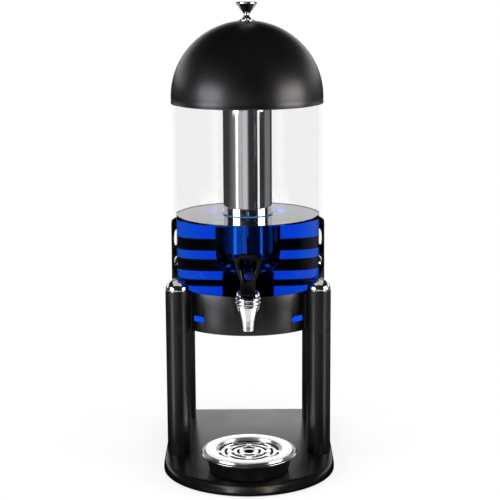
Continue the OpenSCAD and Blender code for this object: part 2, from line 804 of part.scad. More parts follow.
// Loop handle on a round barrel, with a fork that lifts the stem by its head
module tap_lever() {
  zw = lever_h - 22.6;
  color(soot) on_tap() difference() {
    union() {
      difference() {
        translate([0, lever_back, 0]) rotate([90, 0, 0]) linear_extrude(lever_t) lever_face();
        translate([0, lever_back + 1, 0]) rotate([90, 0, 0]) linear_extrude(lever_t + 2)
          polygon([[-neck_w / 2 + 0.5, zw], [neck_w / 2 - 0.5, zw],
            [lever_w / 2 - 6.1, zw + 14.2], [-lever_w / 2 + 6.1, zw + 14.2]]);
        translate([0, lever_front + 1, 0]) rotate([90, 0, 0]) linear_extrude(2)
          polygon([[-neck_w / 2 + 2.4, zw - 11.5], [neck_w / 2 - 2.4, zw - 11.5],
            [neck_w / 2 - 0.5, zw + 1], [-neck_w / 2 + 0.5, zw + 1]]);
        translate([0, 0, zw - 6]) bar_y(dot_d / 2, lever_front - 1, lever_front + 2.2);
      }
      bar_x(lever_t / 2 - rest_gap, neck_w, pin_y, z_pin);
      for (s = [-1, 1]) translate([s * (finger_in + finger_w / 2), 0, 0]) {
        translate([-finger_w / 2, lever_front + 2.5, finger_z - 1.2])
          cube([finger_w, lever_t - 2.5, z_pin - finger_z + 1.2]);
        translate([-finger_w / 2, lever_back - 1, finger_z - 1.2]) cube([finger_w, -lever_back + 1.6, 2.2]);
        bar_x(finger_r, finger_w, 0, finger_z);
      }
    }
    bar_x(pin_d / 2 + pin_play, neck_w + 10, pin_y, z_pin);
  }
}

// Blue mark set in the lever's face
module lever_mark() {
  zw = lever_h - 22.6;
  color(mark) on_tap() translate([0, 0, zw - 6]) bar_y(dot_d / 2, lever_front + 0.4, lever_front + 2.2);
}

// Valve stem with a round head over the lever's fingers
module valve_stem() {
  color(steel) on_tap() {
    rod(stem_d / 2, -spout_h / 3 + 2.5, head_z + 0.5);
    rod(head_r, head_z, head_z + 1.6);
  }
}

// Silicone cup on the stem's foot, closed on its conical seat
module seat_cup() {
  zs = -spout_h / 3;
  color(rubber) on_tap() difference() {
    rotate_extrude() polygon([
      [0, zs + 0.5], [spout_bore / 2 - 0.6, zs + 0.5], [chamber_r - 0.8, zs + 3.4],
      [chamber_r - 0.8, zs + 5.6], [stem_d / 2 + 1.5, zs + 7], [0, zs + 7]]);
    rod(stem_d / 2, zs + 2.5, zs + 8);
  }
}

// Tapered tray bowl with a flat lip
module tray_bowl() {
  r1 = bowl_r;
  r0 = bowl_r - bowl_taper;
  w = bowl_wall;
  color(soot) on_tray() rotate_extrude($fn = 96) polygon([
    [0, z_bowl], [r0 - 1, z_bowl], [r0, z_bowl + 1], [r1, z_lip - w], [rim_r - 1.2, z_lip - w],
    [rim_r - 1.2, z_lip], [r1 - w, z_lip], [r0 - w, z_bowl + w], [0, z_bowl + w]]);
}

// Chromed ring on the bowl's lip
module tray_rim() {
  ro = rim_r;
  color(chrome) on_tray() rotate_extrude($fn = 96) polygon([
    [rim_in, z_lip], [ro - 0.6, z_lip], [ro, z_lip + 0.8], [ro, z_lip + rim_h - 1.4],
    [ro - 1.2, z_lip + rim_h], [rim_in, z_lip + rim_h]]);
}

// Stainless grille: flat rim, sunk middle and staggered rings of arc slots
module tray_grille() {
  zt = z_lip + rest_gap + grille_up;
  zs = zt - sunk_h;
  rs = sunk_d / 2;
  ro = grille_d / 2;
  t = grille_t;
  r0 = rs - 4.5;
  color(steel) on_tray() difference() {
    rotate_extrude($fn = 96) polygon([
      [0, zs], [rs, zs], [rs, zt], [ro - 0.8, zt], [ro, zt - 0.8], [ro, z_lip + rest_gap],
      [ro - t, z_lip + rest_gap], [ro - t, zt - t], [rs + t, zt - t], [rs + t, zs - t], [0, zs - t]]);
    rod(arc_pitch * 0.8, zs - t - 1, zs + 1);
    for (i = [0 : 3]) {
      n = [6, 6, 4, 4][i];
      r = r0 - i * arc_pitch;
      gap = 5 / r * 57.3 + 4;
      for (k = [0 : n - 1])
        rotate([0, 0, k * 360 / n + (i % 2) * 180 / n + gap / 2]) translate([0, 0, zs - t - 1])
          rotate_extrude(angle = 360 / n - gap) translate([r - arc_w / 2, 0]) square([arc_w, t + 2]);
    }
  }
}

base_plate();
base_feet();
column_front_left();
column_front_right();
column_rear_left();
column_rear_right();
sleeve_front_left();
sleeve_front_right();
sleeve_rear_left();
sleeve_rear_right();
cap_front_left();
cap_front_right();
cap_rear_left();
cap_rear_right();
tie_rods();
base_nuts();
holder_drum();
seat_ring();
seat_pad();
container();
juice_fill();
core_seat();
core_washer();
core_screw();
ice_tube();
tube_rim();
tube_cushion();
lid_dome();
lid_ring();
lid_gasket();
lid_knob();
knob_washer();
knob_screw();
tap_body();
tap_shank();
tap_washer_outer();
tap_washer_inner();
tap_nut();
tap_collar();
tap_bonnet();
stem_gland();
lever_pin();
tap_lever();
lever_mark();
valve_stem();
seat_cup();
tray_bowl();
tray_rim();
tray_grille();
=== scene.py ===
from math import acos, asin, cos, degrees, pi, radians, sin, sqrt, tan

import bmesh
import bpy
from mathutils import Matrix, Vector


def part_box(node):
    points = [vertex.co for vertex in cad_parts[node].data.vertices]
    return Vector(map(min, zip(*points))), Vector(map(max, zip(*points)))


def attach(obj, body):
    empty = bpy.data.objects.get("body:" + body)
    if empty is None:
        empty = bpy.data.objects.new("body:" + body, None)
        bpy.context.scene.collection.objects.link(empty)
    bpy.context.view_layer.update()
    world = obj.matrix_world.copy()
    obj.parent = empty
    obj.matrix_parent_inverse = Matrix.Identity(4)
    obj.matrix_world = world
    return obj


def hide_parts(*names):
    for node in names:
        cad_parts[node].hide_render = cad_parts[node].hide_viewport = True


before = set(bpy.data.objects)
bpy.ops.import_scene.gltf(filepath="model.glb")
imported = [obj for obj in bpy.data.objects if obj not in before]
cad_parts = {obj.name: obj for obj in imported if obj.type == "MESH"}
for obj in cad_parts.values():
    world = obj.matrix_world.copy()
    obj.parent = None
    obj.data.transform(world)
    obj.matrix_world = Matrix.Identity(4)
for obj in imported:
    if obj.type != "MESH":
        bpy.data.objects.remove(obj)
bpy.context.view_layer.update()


# ---- base plate
# The foot of the stand: a shallow pan pressed from steel sheet, half round in front and square at
# the back, its edge drawn down in a full round. It is sand-blasted, then powder-coated black.
MM = 0.001


def corners(name):
    """A CAD node's lowest and highest corner at rest, in mm."""
    return [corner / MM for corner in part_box(name)]


def linear(hex_colour):
    """sRGB hex colour as the linear RGBA that Blender's sockets take."""
    parts = [int(hex_colour[i:i + 2], 16) / 255 for i in (1, 3, 5)]
    return (*[c / 12.92 if c <= 0.04045 else ((c + 0.055) / 1.055) ** 2.4 for c in parts], 1)


def add(tree, kind, sockets=None, **settings):
    """Adds a node. A socket gets a plain value, or the output that feeds it."""
    node = tree.nodes.new(kind)
    for key, value in settings.items():
        setattr(node, key, value)
    for key, value in (sockets or {}).items():
        if isinstance(value, bpy.types.NodeSocket):
            tree.links.new(value, node.inputs[key])
        else:
            node.inputs[key].default_value = value
    return node


def blank(name):
    """An empty material; returns it and its node tree."""
    material = bpy.data.materials.new(name)
    material.use_nodes = True
    material.node_tree.nodes.clear()
    return material, material.node_tree


def speckle(tree, grain_mm, detail=2.0, stretch=(1, 1, 1)):
    """Noise on Object coordinates whose grains are about grain_mm across."""
    where = add(tree, "ShaderNodeTexCoord").outputs["Object"]
    where = add(tree, "ShaderNodeMapping", {"Vector": where, "Scale": stretch}).outputs["Vector"]
    return add(tree, "ShaderNodeTexNoise",
               {"Vector": where, "Scale": 1 / (grain_mm * MM), "Detail": detail}).outputs["Fac"]


noise_span = {"From Min": 0.3, "From Max": 0.7}


def two_tone(tree, field, tone, tone_worn):
    """A base colour that drifts between two tones with a noise field."""
    share = add(tree, "ShaderNodeMapRange", {"Value": field, **noise_span})
    tones = {0: share.outputs[0], 6: linear(tone), 7: linear(tone_worn)}
    return add(tree, "ShaderNodeMix", tones, data_type="RGBA").outputs[2]


def surface(tree, gloss, rough, height, strength, depth_mm, sockets):
    """Ends a material. The noise field gloss moves its roughness between two values, and the field
    height gives it a fine relief, depth_mm deep."""
    uneven = add(tree, "ShaderNodeMapRange", {
        "Value": gloss, **noise_span, "To Min": rough[0], "To Max": rough[1]})
    relief = add(tree, "ShaderNodeBump", {
        "Height": height, "Strength": strength, "Distance": depth_mm * MM})
    shader = add(tree, "ShaderNodeBsdfPrincipled", {
        "Roughness": uneven.outputs[0], "Normal": relief.outputs["Normal"], **sockets})
    add(tree, "ShaderNodeOutputMaterial", {"Surface": shader.outputs[0]})


def powder_coat(name, tone, tone_worn, rough):
    """Black powder coat: dead black until it catches a lamp, then a soft wide sheen with a fine
    orange peel. The peel is really about 0.6 mm across and is drawn at 2 mm, to show at all."""
    material, tree = blank(name)
    cloud = speckle(tree, 45)
    surface(tree, cloud, rough, speckle(tree, 2.0, 1.0), 0.10, 0.35,
            {"Base Color": two_tone(tree, cloud, tone, tone_worn)})
    return material


satin_black = powder_coat("powder_coated_steel", "#08080a", "#0d0d0f", (0.31, 0.37))
pan_black = powder_coat("gloss_black_powder_coat", "#08080a", "#0d0d0f", (0.22, 0.27))


def skin(rings):
    """Skins closed rings of equal length, each a list of (x, y, z) in mm, into a closed shape."""
    bm = bmesh.new()
    loops = [[bm.verts.new(Vector(p) * MM) for p in ring] for ring in rings]
    for a, b in zip(loops, loops[1:]):
        for i in range(len(a)):
            j = (i + 1) % len(a)
            bm.faces.new((a[i], a[j], b[j], b[i]))
    bm.faces.new(loops[0])
    bm.faces.new(loops[-1])
    bmesh.ops.recalc_face_normals(bm, faces=bm.faces)
    return bm


def plain_mesh(name, shape):
    """A mesh from a bmesh, with soft shading except over real edges and on large flats."""
    most_sides, sharp_edge = 8, radians(34)
    mesh = shape
    if isinstance(shape, bmesh.types.BMesh):
        mesh = bpy.data.meshes.new(name)
        shape.to_mesh(mesh)
        shape.free()
    mesh.name = name
    for face in mesh.polygons:
        face.use_smooth = len(face.vertices) <= most_sides
    mesh.set_sharp_from_angle(angle=sharp_edge)
    return mesh


scene = bpy.context.scene


def placed(name, shape):
    """Puts a shape in the scene as an object, and returns it."""
    obj = bpy.data.objects.new(name, plain_mesh(name, shape))
    scene.collection.objects.link(obj)
    return obj


def coat(obj, material):
    """Gives an object its one material."""
    obj.data.materials.clear()
    obj.data.materials.append(material)


def piece(name, shape, material, body, slot, *replaced):
    """Puts a finished shape on its body, with its finish and the CAD nodes it stands for."""
    obj = placed(name, shape)
    coat(obj, material)
    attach(obj, body)
    if replaced:
        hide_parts(*replaced)


def dress(material, *names):
    """Gives CAD nodes whose shape is right their finish."""
    for name in names:
        coat(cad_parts[name], material)


base_low, base_high = corners("base_plate")
base_half, base_back = base_high.x, base_high.y
base_front_centre = base_low.y + base_half
base_corner, least_corner, base_sheet, top_sheet, broken_edge = 4.0, 0.6, 4.2, 3.0, 0.4
round_in, round_tall, front_run = 4.0, 9.6, 2.6


def base_outline(inset, z):
    """The pan's outline, drawn in by inset mm: front arc, sides, two small back corners. At the very
    front it is drawn in further, since the pan slopes off there."""
    r, rc = base_half - inset, max(base_corner - inset, least_corner)
    cx, cy = base_half - base_corner, base_back - base_corner
    if inset > base_corner - least_corner:
        cx, cy = base_half - inset - rc, base_back - inset - rc
    ring = []
    for i in range(91):
        t = pi + pi * i / 90
        reach = r - inset * front_run * sin(t) ** 2
        ring.append((reach * cos(t), base_front_centre + reach * sin(t), z))
    for side, first in ((1, 0), (-1, 6)):
        turns = [pi * i / 12 for i in range(first, first + 7)]
        ring += [(side * cx + rc * cos(t), cy + rc * sin(t), z) for t in turns]
    return ring


pan = [base_outline(inset, z) for inset, z in (
    (base_sheet, base_high.z - top_sheet), (base_sheet, base_low.z + broken_edge),
    (base_sheet - broken_edge, base_low.z), (broken_edge, base_low.z), (0, base_low.z + broken_edge))]
pan += [base_outline(round_in * (1 - cos(t)), base_high.z - round_tall * (1 - sin(t)))
        for t in [a * pi / 28 for a in range(15)]]
piece("base_pan", skin(pan), pan_black, "stand", "black_steel", "base_plate")


# ---- bosses, feet, nuts and tie rods
# Under the pan, four welded bosses take the columns' tie rods and their nuts, and four more hold
# the rubber feet, which are moulded pucks pressed into them.
def eased(points):
    """Rounds a profile's corners: a point's third number is its corner radius in mm."""
    out, most_of_side = [], 0.49
    for i, p in enumerate(points):
        if len(p) < 3:
            out.append(Vector(p))
            continue
        before, here = Vector(points[i - 1][:2]), Vector(p[:2])
        after = Vector(points[(i + 1) % len(points)][:2])
        u, v = before - here, after - here
        reach = p[2] / tan(u.angle(v) / 2)
        start = here + u.normalized() * min(reach, u.length * most_of_side)
        end = here + v.normalized() * min(reach, v.length * most_of_side)
        out += [start * (1 - t) ** 2 + here * 2 * t * (1 - t) + end * t * t
                for t in (0, 0.17, 0.34, 0.5, 0.66, 0.83, 1)]
    return out


def turned(profile, centre_y=0.0, steps=96, base_z=0.0):
    """Solid of revolution about an upright axis. The profile is a loop of (r, z[, corner radius]) in
    mm, with z counted from base_z; a point on the axis becomes one vertex."""
    bm = bmesh.new()
    rings = []
    for r, z in eased(profile):
        turns = [0] if r < 1e-4 else [2 * pi * i / steps for i in range(steps)]
        rings.append([bm.verts.new(Vector((r * sin(t), centre_y - r * cos(t), base_z + z)) * MM)
                      for t in turns])
    for a, b in zip(rings, rings[1:] + rings[:1]):
        if len(a) == 1 and len(b) == 1:
            continue
        for i in range(steps):
            j = (i + 1) % steps
            face = [a[i % len(a)], a[j % len(a)], b[j % len(b)], b[i % len(b)]]
            bm.faces.new(list(dict.fromkeys(face)))
    bmesh.ops.recalc_face_normals(bm, faces=bm.faces)
    return bm


def new_tree(name, *inputs):
    """A Geometry Nodes tree that repeats the shape it is given. Its inputs are that shape, the named
    ones, the y of the copies' middle and their finish; returns the tree and these by name."""
    tree = bpy.data.node_groups.new(name, "GeometryNodeTree")
    for label, kind in (("Geometry", "Geometry"), *inputs, ("middle_y", "Float"), ("finish", "Material")):
        tree.interface.new_socket(label, in_out="INPUT", socket_type="NodeSocket" + kind)
    tree.interface.new_socket("Geometry", in_out="OUTPUT", socket_type="NodeSocketGeometry")
    return tree, {socket.name: socket for socket in add(tree, "NodeGroupInput").outputs}


def place_copies(tree, given, points, angle):
    """Ends a tree: copies of its shape on points, turned by an angle, as real geometry."""
    turn = add(tree, "ShaderNodeCombineXYZ", {"Z": angle})
    shift = add(tree, "ShaderNodeCombineXYZ", {"Y": given["middle_y"]})
    copies = add(tree, "GeometryNodeInstanceOnPoints", {
        "Points": points, "Instance": given["Geometry"], "Rotation": turn.outputs[0]})
    moved = add(tree, "GeometryNodeTransform", {
        "Geometry": copies.outputs[0], "Translation": shift.outputs[0]})
    real = add(tree, "GeometryNodeRealizeInstances", {"Geometry": moved.outputs[0]})
    done = add(tree, "GeometryNodeSetMaterial", {
        "Geometry": real.outputs[0], "Material": given["finish"]})
    add(tree, "NodeGroupOutput", {"Geometry": done.outputs[0]})


def applied(obj):
    """The plain mesh that an object's modifiers make; the object is removed."""
    made = obj.evaluated_get(bpy.context.evaluated_depsgraph_get())
    mesh = bpy.data.meshes.new_from_object(made)
    bpy.data.objects.remove(obj)
    return mesh


def grown(tree, shape, **values):
    """Runs a tree on a shape and returns the plain mesh that it makes."""
    obj = placed("grown", shape)
    modifier = obj.modifiers.new("grow", "NODES")
    modifier.node_group = tree
    for item in tree.interface.items_tree:
        if item.in_out == "INPUT" and item.name in values:
            modifier[item.identifier] = values[item.name]
    return applied(obj)


four_corners, given = new_tree("four_corners", ("width", "Float"), ("depth", "Float"))
grid = add(four_corners, "GeometryNodeMeshGrid", {
    "Size X": given["width"], "Size Y": given["depth"], "Vertices X": 2, "Vertices Y": 2})
place = add(four_corners, "ShaderNodeSeparateXYZ",
            {0: add(four_corners, "GeometryNodeInputPosition").outputs[0]})
outwards = add(four_corners, "ShaderNodeMath", {0: place.outputs["Y"], 1: place.outputs["X"]},
               operation="ARCTAN2")
place_copies(four_corners, given, grid.outputs["Mesh"], outwards.outputs[0])


def four_pieces(name, shape, finish, places, slot, *replaced):
    """Puts a shape at all four columns or feet, as one piece of the stand."""
    piece(name, grown(four_corners, shape, finish=finish, **places), finish, "stand", slot, *replaced)


column_low, column_high = corners("column_front_right")
column_r = (column_high.x - column_low.x) / 2
column_x, column_front = column_low.x + column_r, column_low.y + column_r
column_rear = corners("column_rear_right")[1].y - column_r
axis_y = (column_front + column_rear) / 2
at_columns = dict(width=2 * column_x * MM, depth=(column_rear - column_front) * MM,
                  middle_y=axis_y * MM)
foot_low, foot_high = corners("base_feet")
foot_r = 9.0
at_feet = dict(width=2 * (foot_high.x - foot_r) * MM, middle_y=(foot_low.y + foot_high.y) / 2 * MM,
               depth=(foot_high.y - foot_low.y - 2 * foot_r) * MM)

boss_top, boss_foot, boss_r = base_high.z - 2.8, base_low.z, column_r - 1
rod_hole_r, nut_pocket_r, nut_pocket_top = 4.3, 9.5, 7.7
boss = [(rod_hole_r, boss_top), (rod_hole_r, nut_pocket_top), (nut_pocket_r, nut_pocket_top),
        (nut_pocket_r, boss_foot, 0.4), (boss_r, boss_foot, 0.6), (boss_r, boss_top)]
four_pieces("column_bosses", turned(boss, steps=48), satin_black, at_columns, "black_steel")
cup_in, cup_out, cup_roof = foot_r + 0.2, foot_r + 3, 4.4
cup = [(0, boss_top), (0, cup_roof), (cup_in, cup_roof), (cup_in, boss_foot, 0.4),
       (cup_out, boss_foot, 0.6), (cup_out, boss_top)]
four_pieces("foot_cups", turned(cup, steps=48), satin_black, at_feet, "black_steel")

# Moulded black rubber: dull and slightly grey, with the 1.5 mm bloom of a sand-blasted mould
black_rubber, tree = blank("moulded_rubber")
bloom = speckle(tree, 1.5, 3.0)
surface(tree, bloom, (0.62, 0.8), bloom, 0.25, 0.2,
        {"Base Color": two_tone(tree, bloom, "#141415", "#1f1f20")})
puck = [(0, foot_high.z), (foot_r, foot_high.z), (foot_r, 0.9, 0.4), (foot_r - 1.2, 0, 0.6),
        (5.0, 0, 0.3), (4.4, 0.6, 0.3), (0, 0.6)]
four_pieces("rubber_feet", turned(puck, steps=48), black_rubber, at_feet, "rubber", "base_feet")

# Machined stainless steel: bright but slightly hazed, with fine tool rings 0.5 mm apart round each
# upright part
machined_steel, tree = blank("machined_stainless")
rings = speckle(tree, 3.0, 2.0, (0.3, 0.3, 6.0))
surface(tree, rings, (0.22, 0.34), rings, 0.1, 0.1,
        {"Metallic": 1.0, "Base Color": linear("#b9bbbd")})
dress(machined_steel, "base_nuts", "tie_rods")


# ---- columns and sleeves
# Four round steel tubes carry the holder. Each is in two lengths: the lower column, and an upper
# sleeve whose gusset is welded to the drum and whose spigot plugs into the column at the seam.
def each_corner(kind):
    """Names of the four CAD nodes of a kind, one at each column."""
    return [f"{kind}_{end}_{side}" for end in ("front", "rear") for side in ("left", "right")]


tube_wall = 2.0
tube_in, spigot_in = column_r - tube_wall, column_r - 2 * tube_wall
column = [(tube_in, column_low.z, 0.3), (column_r, column_low.z, 0.4),
          (column_r, column_high.z, 0.5), (tube_in, column_high.z, 0.3)]
four_pieces("column_tubes", turned(column, steps=64), satin_black, at_columns, "black_steel",
            *each_corner("column"))

drum_low, drum_high = corners("holder_drum")
drum_r, drum_sheet, band_top = drum_high.x, 1.5, 231.5
sleeve_low, sleeve_high = corners("sleeve_front_right")
plug_foot = sleeve_high.z - 6
sleeve = [(rod_hole_r, plug_foot), (rod_hole_r, sleeve_high.z, 0.2), (column_r, sleeve_high.z, 0.6),
          (column_r, column_high.z, 0.5), (tube_in, column_high.z), (tube_in, sleeve_low.z, 0.4),
          (spigot_in, sleeve_low.z, 0.4), (spigot_in, plug_foot)]
sleeves = turned(sleeve, steps=64)


def join(body, *shapes):
    """Adds closed shapes to a body, as parts of one piece."""
    for shape in shapes:
        body.from_mesh(plain_mesh("joined", shape))


gusset_half, column_reach = 10.0, sqrt(column_x ** 2 + (axis_y - column_front) ** 2)
drum_side = [asin(gusset_half / drum_r) * (i / 4 - 1) for i in range(9)]
tube_side = [asin(gusset_half / column_r) * (1 - i / 4) for i in range(9)]
plan = [(drum_r * cos(a) - column_reach, drum_r * sin(a)) for a in drum_side]
plan += [(-column_r * cos(a) + 0.4, column_r * sin(a)) for a in tube_side]
levels = [(0.94, drum_low.z + 1.5), (1.0, drum_low.z + 2.3), (1.0, band_top - 2.3),
          (0.94, band_top - 1.5)]
join(sleeves, skin([[(x, y * share, z) for x, y in plan] for share, z in levels]))

weld_run, given = new_tree("weld_run", ("start", "Vector"), ("step", "Vector"), ("ripples", "Int"))
line = add(weld_run, "GeometryNodeMeshLine", {
    "Count": given["ripples"], "Start Location": given["start"], "Offset": given["step"]})
place_copies(weld_run, given, line.outputs["Mesh"], 0.0)
ripple = [(0, -1.1), (1.1, -0.7), (1.5, 0), (1.1, 0.7), (0, 1.1)]
ripple_step, weld_foot = 1.5, drum_low.z + 3
for side in (-1, 1):
    for x, y in ((plan[0][0] - 0.1, plan[0][1] * side), (plan[-1][0] + 0.1, plan[-1][1] * -side)):
        join(sleeves, grown(
            weld_run, turned(ripple, steps=10), start=(x * MM, y * MM, weld_foot * MM),
            step=(0, 0, ripple_step * MM), ripples=31, finish=satin_black))
four_pieces("upper_sleeves", sleeves, satin_black, at_columns, "black_steel", *each_corner("sleeve"))


# ---- ball caps
# Chromed zinc balls screwed on the tie rods close the columns' tops. They are die-cast, polished
# and bright-plated, and sit on the sleeve with a thin shadow groove.
def bright_chrome(name, tone, rough):
    """Bright chrome plate: a cool mirror. Wiping leaves faint smears some 25 mm across, and the
    polished metal under it waves very slightly."""
    material, tree = blank(name)
    surface(tree, speckle(tree, 25, 3.0), rough, speckle(tree, 12, 0.0), 0.03, 0.3,
            {"Metallic": 1.0, "Base Color": linear(tone)})
    return material


chrome = bright_chrome("chrome_plate", "#dcdee1", (0.02, 0.06))
cap_low, cap_high = corners("cap_front_right")
ball_z, ball_r = cap_low.z, cap_high.z - cap_low.z
groove_r, groove_top = ball_r - 1.6, ball_z + 0.8
ball = [(0, ball_z + 0.1), (groove_r, ball_z + 0.1), (groove_r, groove_top),
        (ball_r - 0.6, groove_top, 0.3)]
ball += [(ball_r * cos(a * pi / 48), ball_z + ball_r * sin(a * pi / 48)) for a in range(2, 24)]
ball += [(0, cap_high.z)]
four_pieces("ball_caps", turned(ball, steps=64), chrome, at_columns, "chrome", *each_corner("cap"))


# ---- holder drum
# The holder that the container stands in: 1.5 mm sheet, laser-cut with its window, tap notch and
# rows of slots, rolled to a drum, welded and powder-coated like the stand.
window_r, shell_corner, notch_r, notch_z = 36.0, 10.0, 17.5, 222.0
window_x = drum_r + 0.1 - window_r


def top_edge(angle, past_window):
    """Height of the sheet's upper edge at an angle from the front, in degrees; past_window is True
    from the window's upright edge on."""
    x = drum_r * sin(radians(angle))
    if past_window:
        run = drum_r * radians(angle - 90)
        if run >= shell_corner:
            return drum_high.z
        return drum_high.z - shell_corner + sqrt(shell_corner ** 2 - (shell_corner - run) ** 2)
    if x < notch_r - 1e-6 and angle < 20:
        return notch_z - sqrt(notch_r ** 2 - x ** 2)
    if x <= window_x:
        return band_top
    return band_top + window_r - sqrt(max(window_r ** 2 - (x - window_x) ** 2, 0))


# Angles at which the sheet is drawn, with what its upper edge does there
notch_angle, window_angle = [degrees(asin(x / drum_r)) for x in (notch_r, window_x)]
corner_run = degrees(shell_corner / drum_r)
stations = [(notch_angle * sin(pi / 2 * i / 10), False) for i in range(10)] + [(notch_angle, None)]
stations += [(notch_angle + (window_angle - notch_angle) * i / 12, False) for i in range(1, 13)]
stations += [(degrees(asin(min(window_x + window_r * sin(pi / 2 * i / 16), drum_r) / drum_r)), False)
             for i in range(1, 16)]
stations += [(90, "edge")] + [(90 + corner_run * (1 - cos(pi / 2 * i / 8)), True) for i in range(1, 9)]
stations += [(90 + corner_run + (90 - corner_run) * i / 36, True) for i in range(1, 37)]

sheet = bmesh.new()
window_end = band_top + window_r - sqrt(window_r ** 2 - (drum_r - window_x) ** 2)
for side in (1, -1):
    last = None
    for angle, kind in stations:
        heights = [drum_low.z, top_edge(angle, kind)]
        if kind is None:
            heights = [drum_low.z, notch_z, band_top]
        elif kind == "edge":
            heights = [drum_low.z, window_end, drum_high.z - shell_corner]
        t = radians(angle * side)
        upright = [sheet.verts.new(Vector((drum_r * sin(t), axis_y - drum_r * cos(t), z)) * MM)
                   for z in heights]
        if last:
            sheet.faces.new(last + upright[1::-1])
        last = upright
bmesh.ops.remove_doubles(sheet, verts=sheet.verts, dist=1e-6)
bmesh.ops.recalc_face_normals(sheet, faces=sheet.faces)


def slot_path(r, width, sweep, rounds, step):
    """Middle line of a round-ended slot at radius r: (angle, half width there) from end to end, in
    radians and mm. Each end is drawn in so many rounds, and the rest about a step at a time."""
    half = width / 2
    end = sweep / 2 - half / r
    path = [(-end - half * cos(pi / 2 * i / rounds) / r, half * sin(pi / 2 * i / rounds) + 0.02)
            for i in range(rounds)]
    count = max(3, int(2 * end / step))
    path += [(-end + 2 * end * i / count, half) for i in range(count + 1)]
    return path + [(-a, h) for a, h in path[rounds - 1::-1]]


def slot_cutter(sweep, height):
    """One slot of the drum as a block through its sheet, sweep degrees wide and height mm tall, facing
    the front of an axis at the origin."""
    inside, outside = drum_r - 7, drum_r + 6
    return skin([[(q * sin(a), -q * cos(a), z) for q, z in
                  ((inside, -h), (outside, -h), (outside, h), (inside, h))]
                 for a, h in slot_path(drum_r, height, radians(sweep), 9, radians(2.5))])


slot_rows, known = new_tree(
    "slot_rows", ("turned_by", "Float"), ("sides", "Int"), ("rows", "Int"), ("first_height", "Float"),
    ("row_pitch", "Float"))
known["index"] = add(slot_rows, "GeometryNodeInputIndex").outputs[0]
for name, operation, *terms in (
        ("total", "MULTIPLY", "sides", "rows"), ("side", "MODULO", "index", "sides"),
        ("rows_up", "DIVIDE", "index", "sides"), ("row", "FLOOR", "rows_up"),
        ("rise", "MULTIPLY_ADD", "row", "row_pitch", "first_height"),
        ("mirror", "MULTIPLY_ADD", "side", -2.0, 1.0), ("swing", "MULTIPLY", "mirror", "turned_by")):
    terms = dict(enumerate(known.get(term, term) for term in terms))
    known[name] = add(slot_rows, "ShaderNodeMath", terms, operation=operation).outputs[0]
spots = add(slot_rows, "GeometryNodeMeshLine", {"Count": known["total"], "Offset": (0, 0, 0)})
spot = add(slot_rows, "ShaderNodeCombineXYZ", {"Z": known["rise"]})
risen = add(slot_rows, "GeometryNodeSetPosition", {
    "Geometry": spots.outputs["Mesh"], "Position": spot.outputs[0]})
place_copies(slot_rows, known, risen.outputs[0], known["swing"])

# Each row: angle from the front, sweep, on one or both sides, slot height, height up, count of rows
cutters, row_pitch = bmesh.new(), 27.75
for middle, sweep, sides, height, first, rows in (
        (39.75, 12.5, 2, 8, 197, 1), (90, 68, 2, 12, 198, 1), (111, 24, 2, 12, 225.75, 2),
        (111, 24, 2, 22, 286.25, 1), (180, 86, 1, 19, 201.5, 1), (180, 86, 1, 12, 225.75, 2),
        (180, 86, 1, 22, 286.25, 1)):
    cutters.from_mesh(grown(
        slot_rows, slot_cutter(sweep, height), turned_by=radians(middle), sides=sides, rows=rows,
        first_height=first * MM, row_pitch=row_pitch * MM, middle_y=axis_y * MM, finish=satin_black))


def carved(name, shape, cutter, sheet_mm=0.0, edge_mm=0.3, crossing=False):
    """Cuts one closed shape out of another, after giving a bare sheet its thickness, and breaks the
    edges; returns the plain mesh. crossing says that parts of the cutter run into one another."""
    obj, tool = placed(name, shape), placed(name + "_cut", cutter)
    if sheet_mm:
        wall = obj.modifiers.new("wall", "SOLIDIFY")
        wall.thickness, wall.offset, wall.use_even_offset = sheet_mm * MM, -1, True
    cut = obj.modifiers.new("cut", "BOOLEAN")
    cut.object, cut.operation, cut.solver, cut.use_self = tool, "DIFFERENCE", "EXACT", crossing
    edge = obj.modifiers.new("edge", "BEVEL")
    edge.width, edge.segments, edge.limit_method = edge_mm * MM, 2, "ANGLE"
    edge.angle_limit, edge.use_clamp_overlap = radians(40), True
    mesh = applied(obj)
    bpy.data.objects.remove(tool)
    return mesh


piece("slotted_drum", carved("slotted_drum", sheet, cutters, drum_sheet), satin_black, "stand",
      "black_steel", "holder_drum")
dress(satin_black, "seat_ring")
dress(black_rubber, "seat_pad")


# ---- container
# The juice container: a length of clear cast acrylic tube, 200 mm across with a 4 mm wall, cemented
# to its floor disc and flame-polished at the mouth. The tap's shank passes through its wall.
box_low, box_high = corners("container")
wall_out, wall_in, floor_top = box_high.x, box_high.x - 4.0, box_low.z + 5.0
juice_top = corners("juice_fill")[1].z

# Cast acrylic: clear with a faint grey cast, and nearly smooth; washing dulls it by about a
# hundredth in patches of 60 mm. Filled, it bends the light as one body with the drink; empty, its
# thin wall lets the white paper through all but unbent, so that its edges stay pale
acrylic, tree = blank("clear_cast_acrylic")
dull = add(tree, "ShaderNodeMapRange", {"Value": speckle(tree, 60), **noise_span, "To Max": 0.012})
filled = add(tree, "ShaderNodeBsdfPrincipled", {
    "Base Color": linear("#f8f8f9"), "Transmission Weight": 1.0, "IOR": 1.49,
    "Specular Tint": linear("#101010"), "Roughness": dull.outputs[0]})
where = add(tree, "ShaderNodeTexCoord").outputs["Object"]
height = add(tree, "ShaderNodeSeparateXYZ", {0: where}).outputs["Z"]
above = add(tree, "ShaderNodeMapRange", {
    "Value": height, "From Min": (juice_top - 1.4) * MM, "From Max": (juice_top - 0.6) * MM})
turned_away = add(tree, "ShaderNodeLayerWeight").outputs["Facing"]
edge = add(tree, "ShaderNodeMapRange", {"Value": turned_away, "From Min": 0.70, "From Max": 0.76})
share = add(tree, "ShaderNodeMath", {0: above.outputs[0], 1: edge.outputs[0]},
            operation="MAXIMUM")
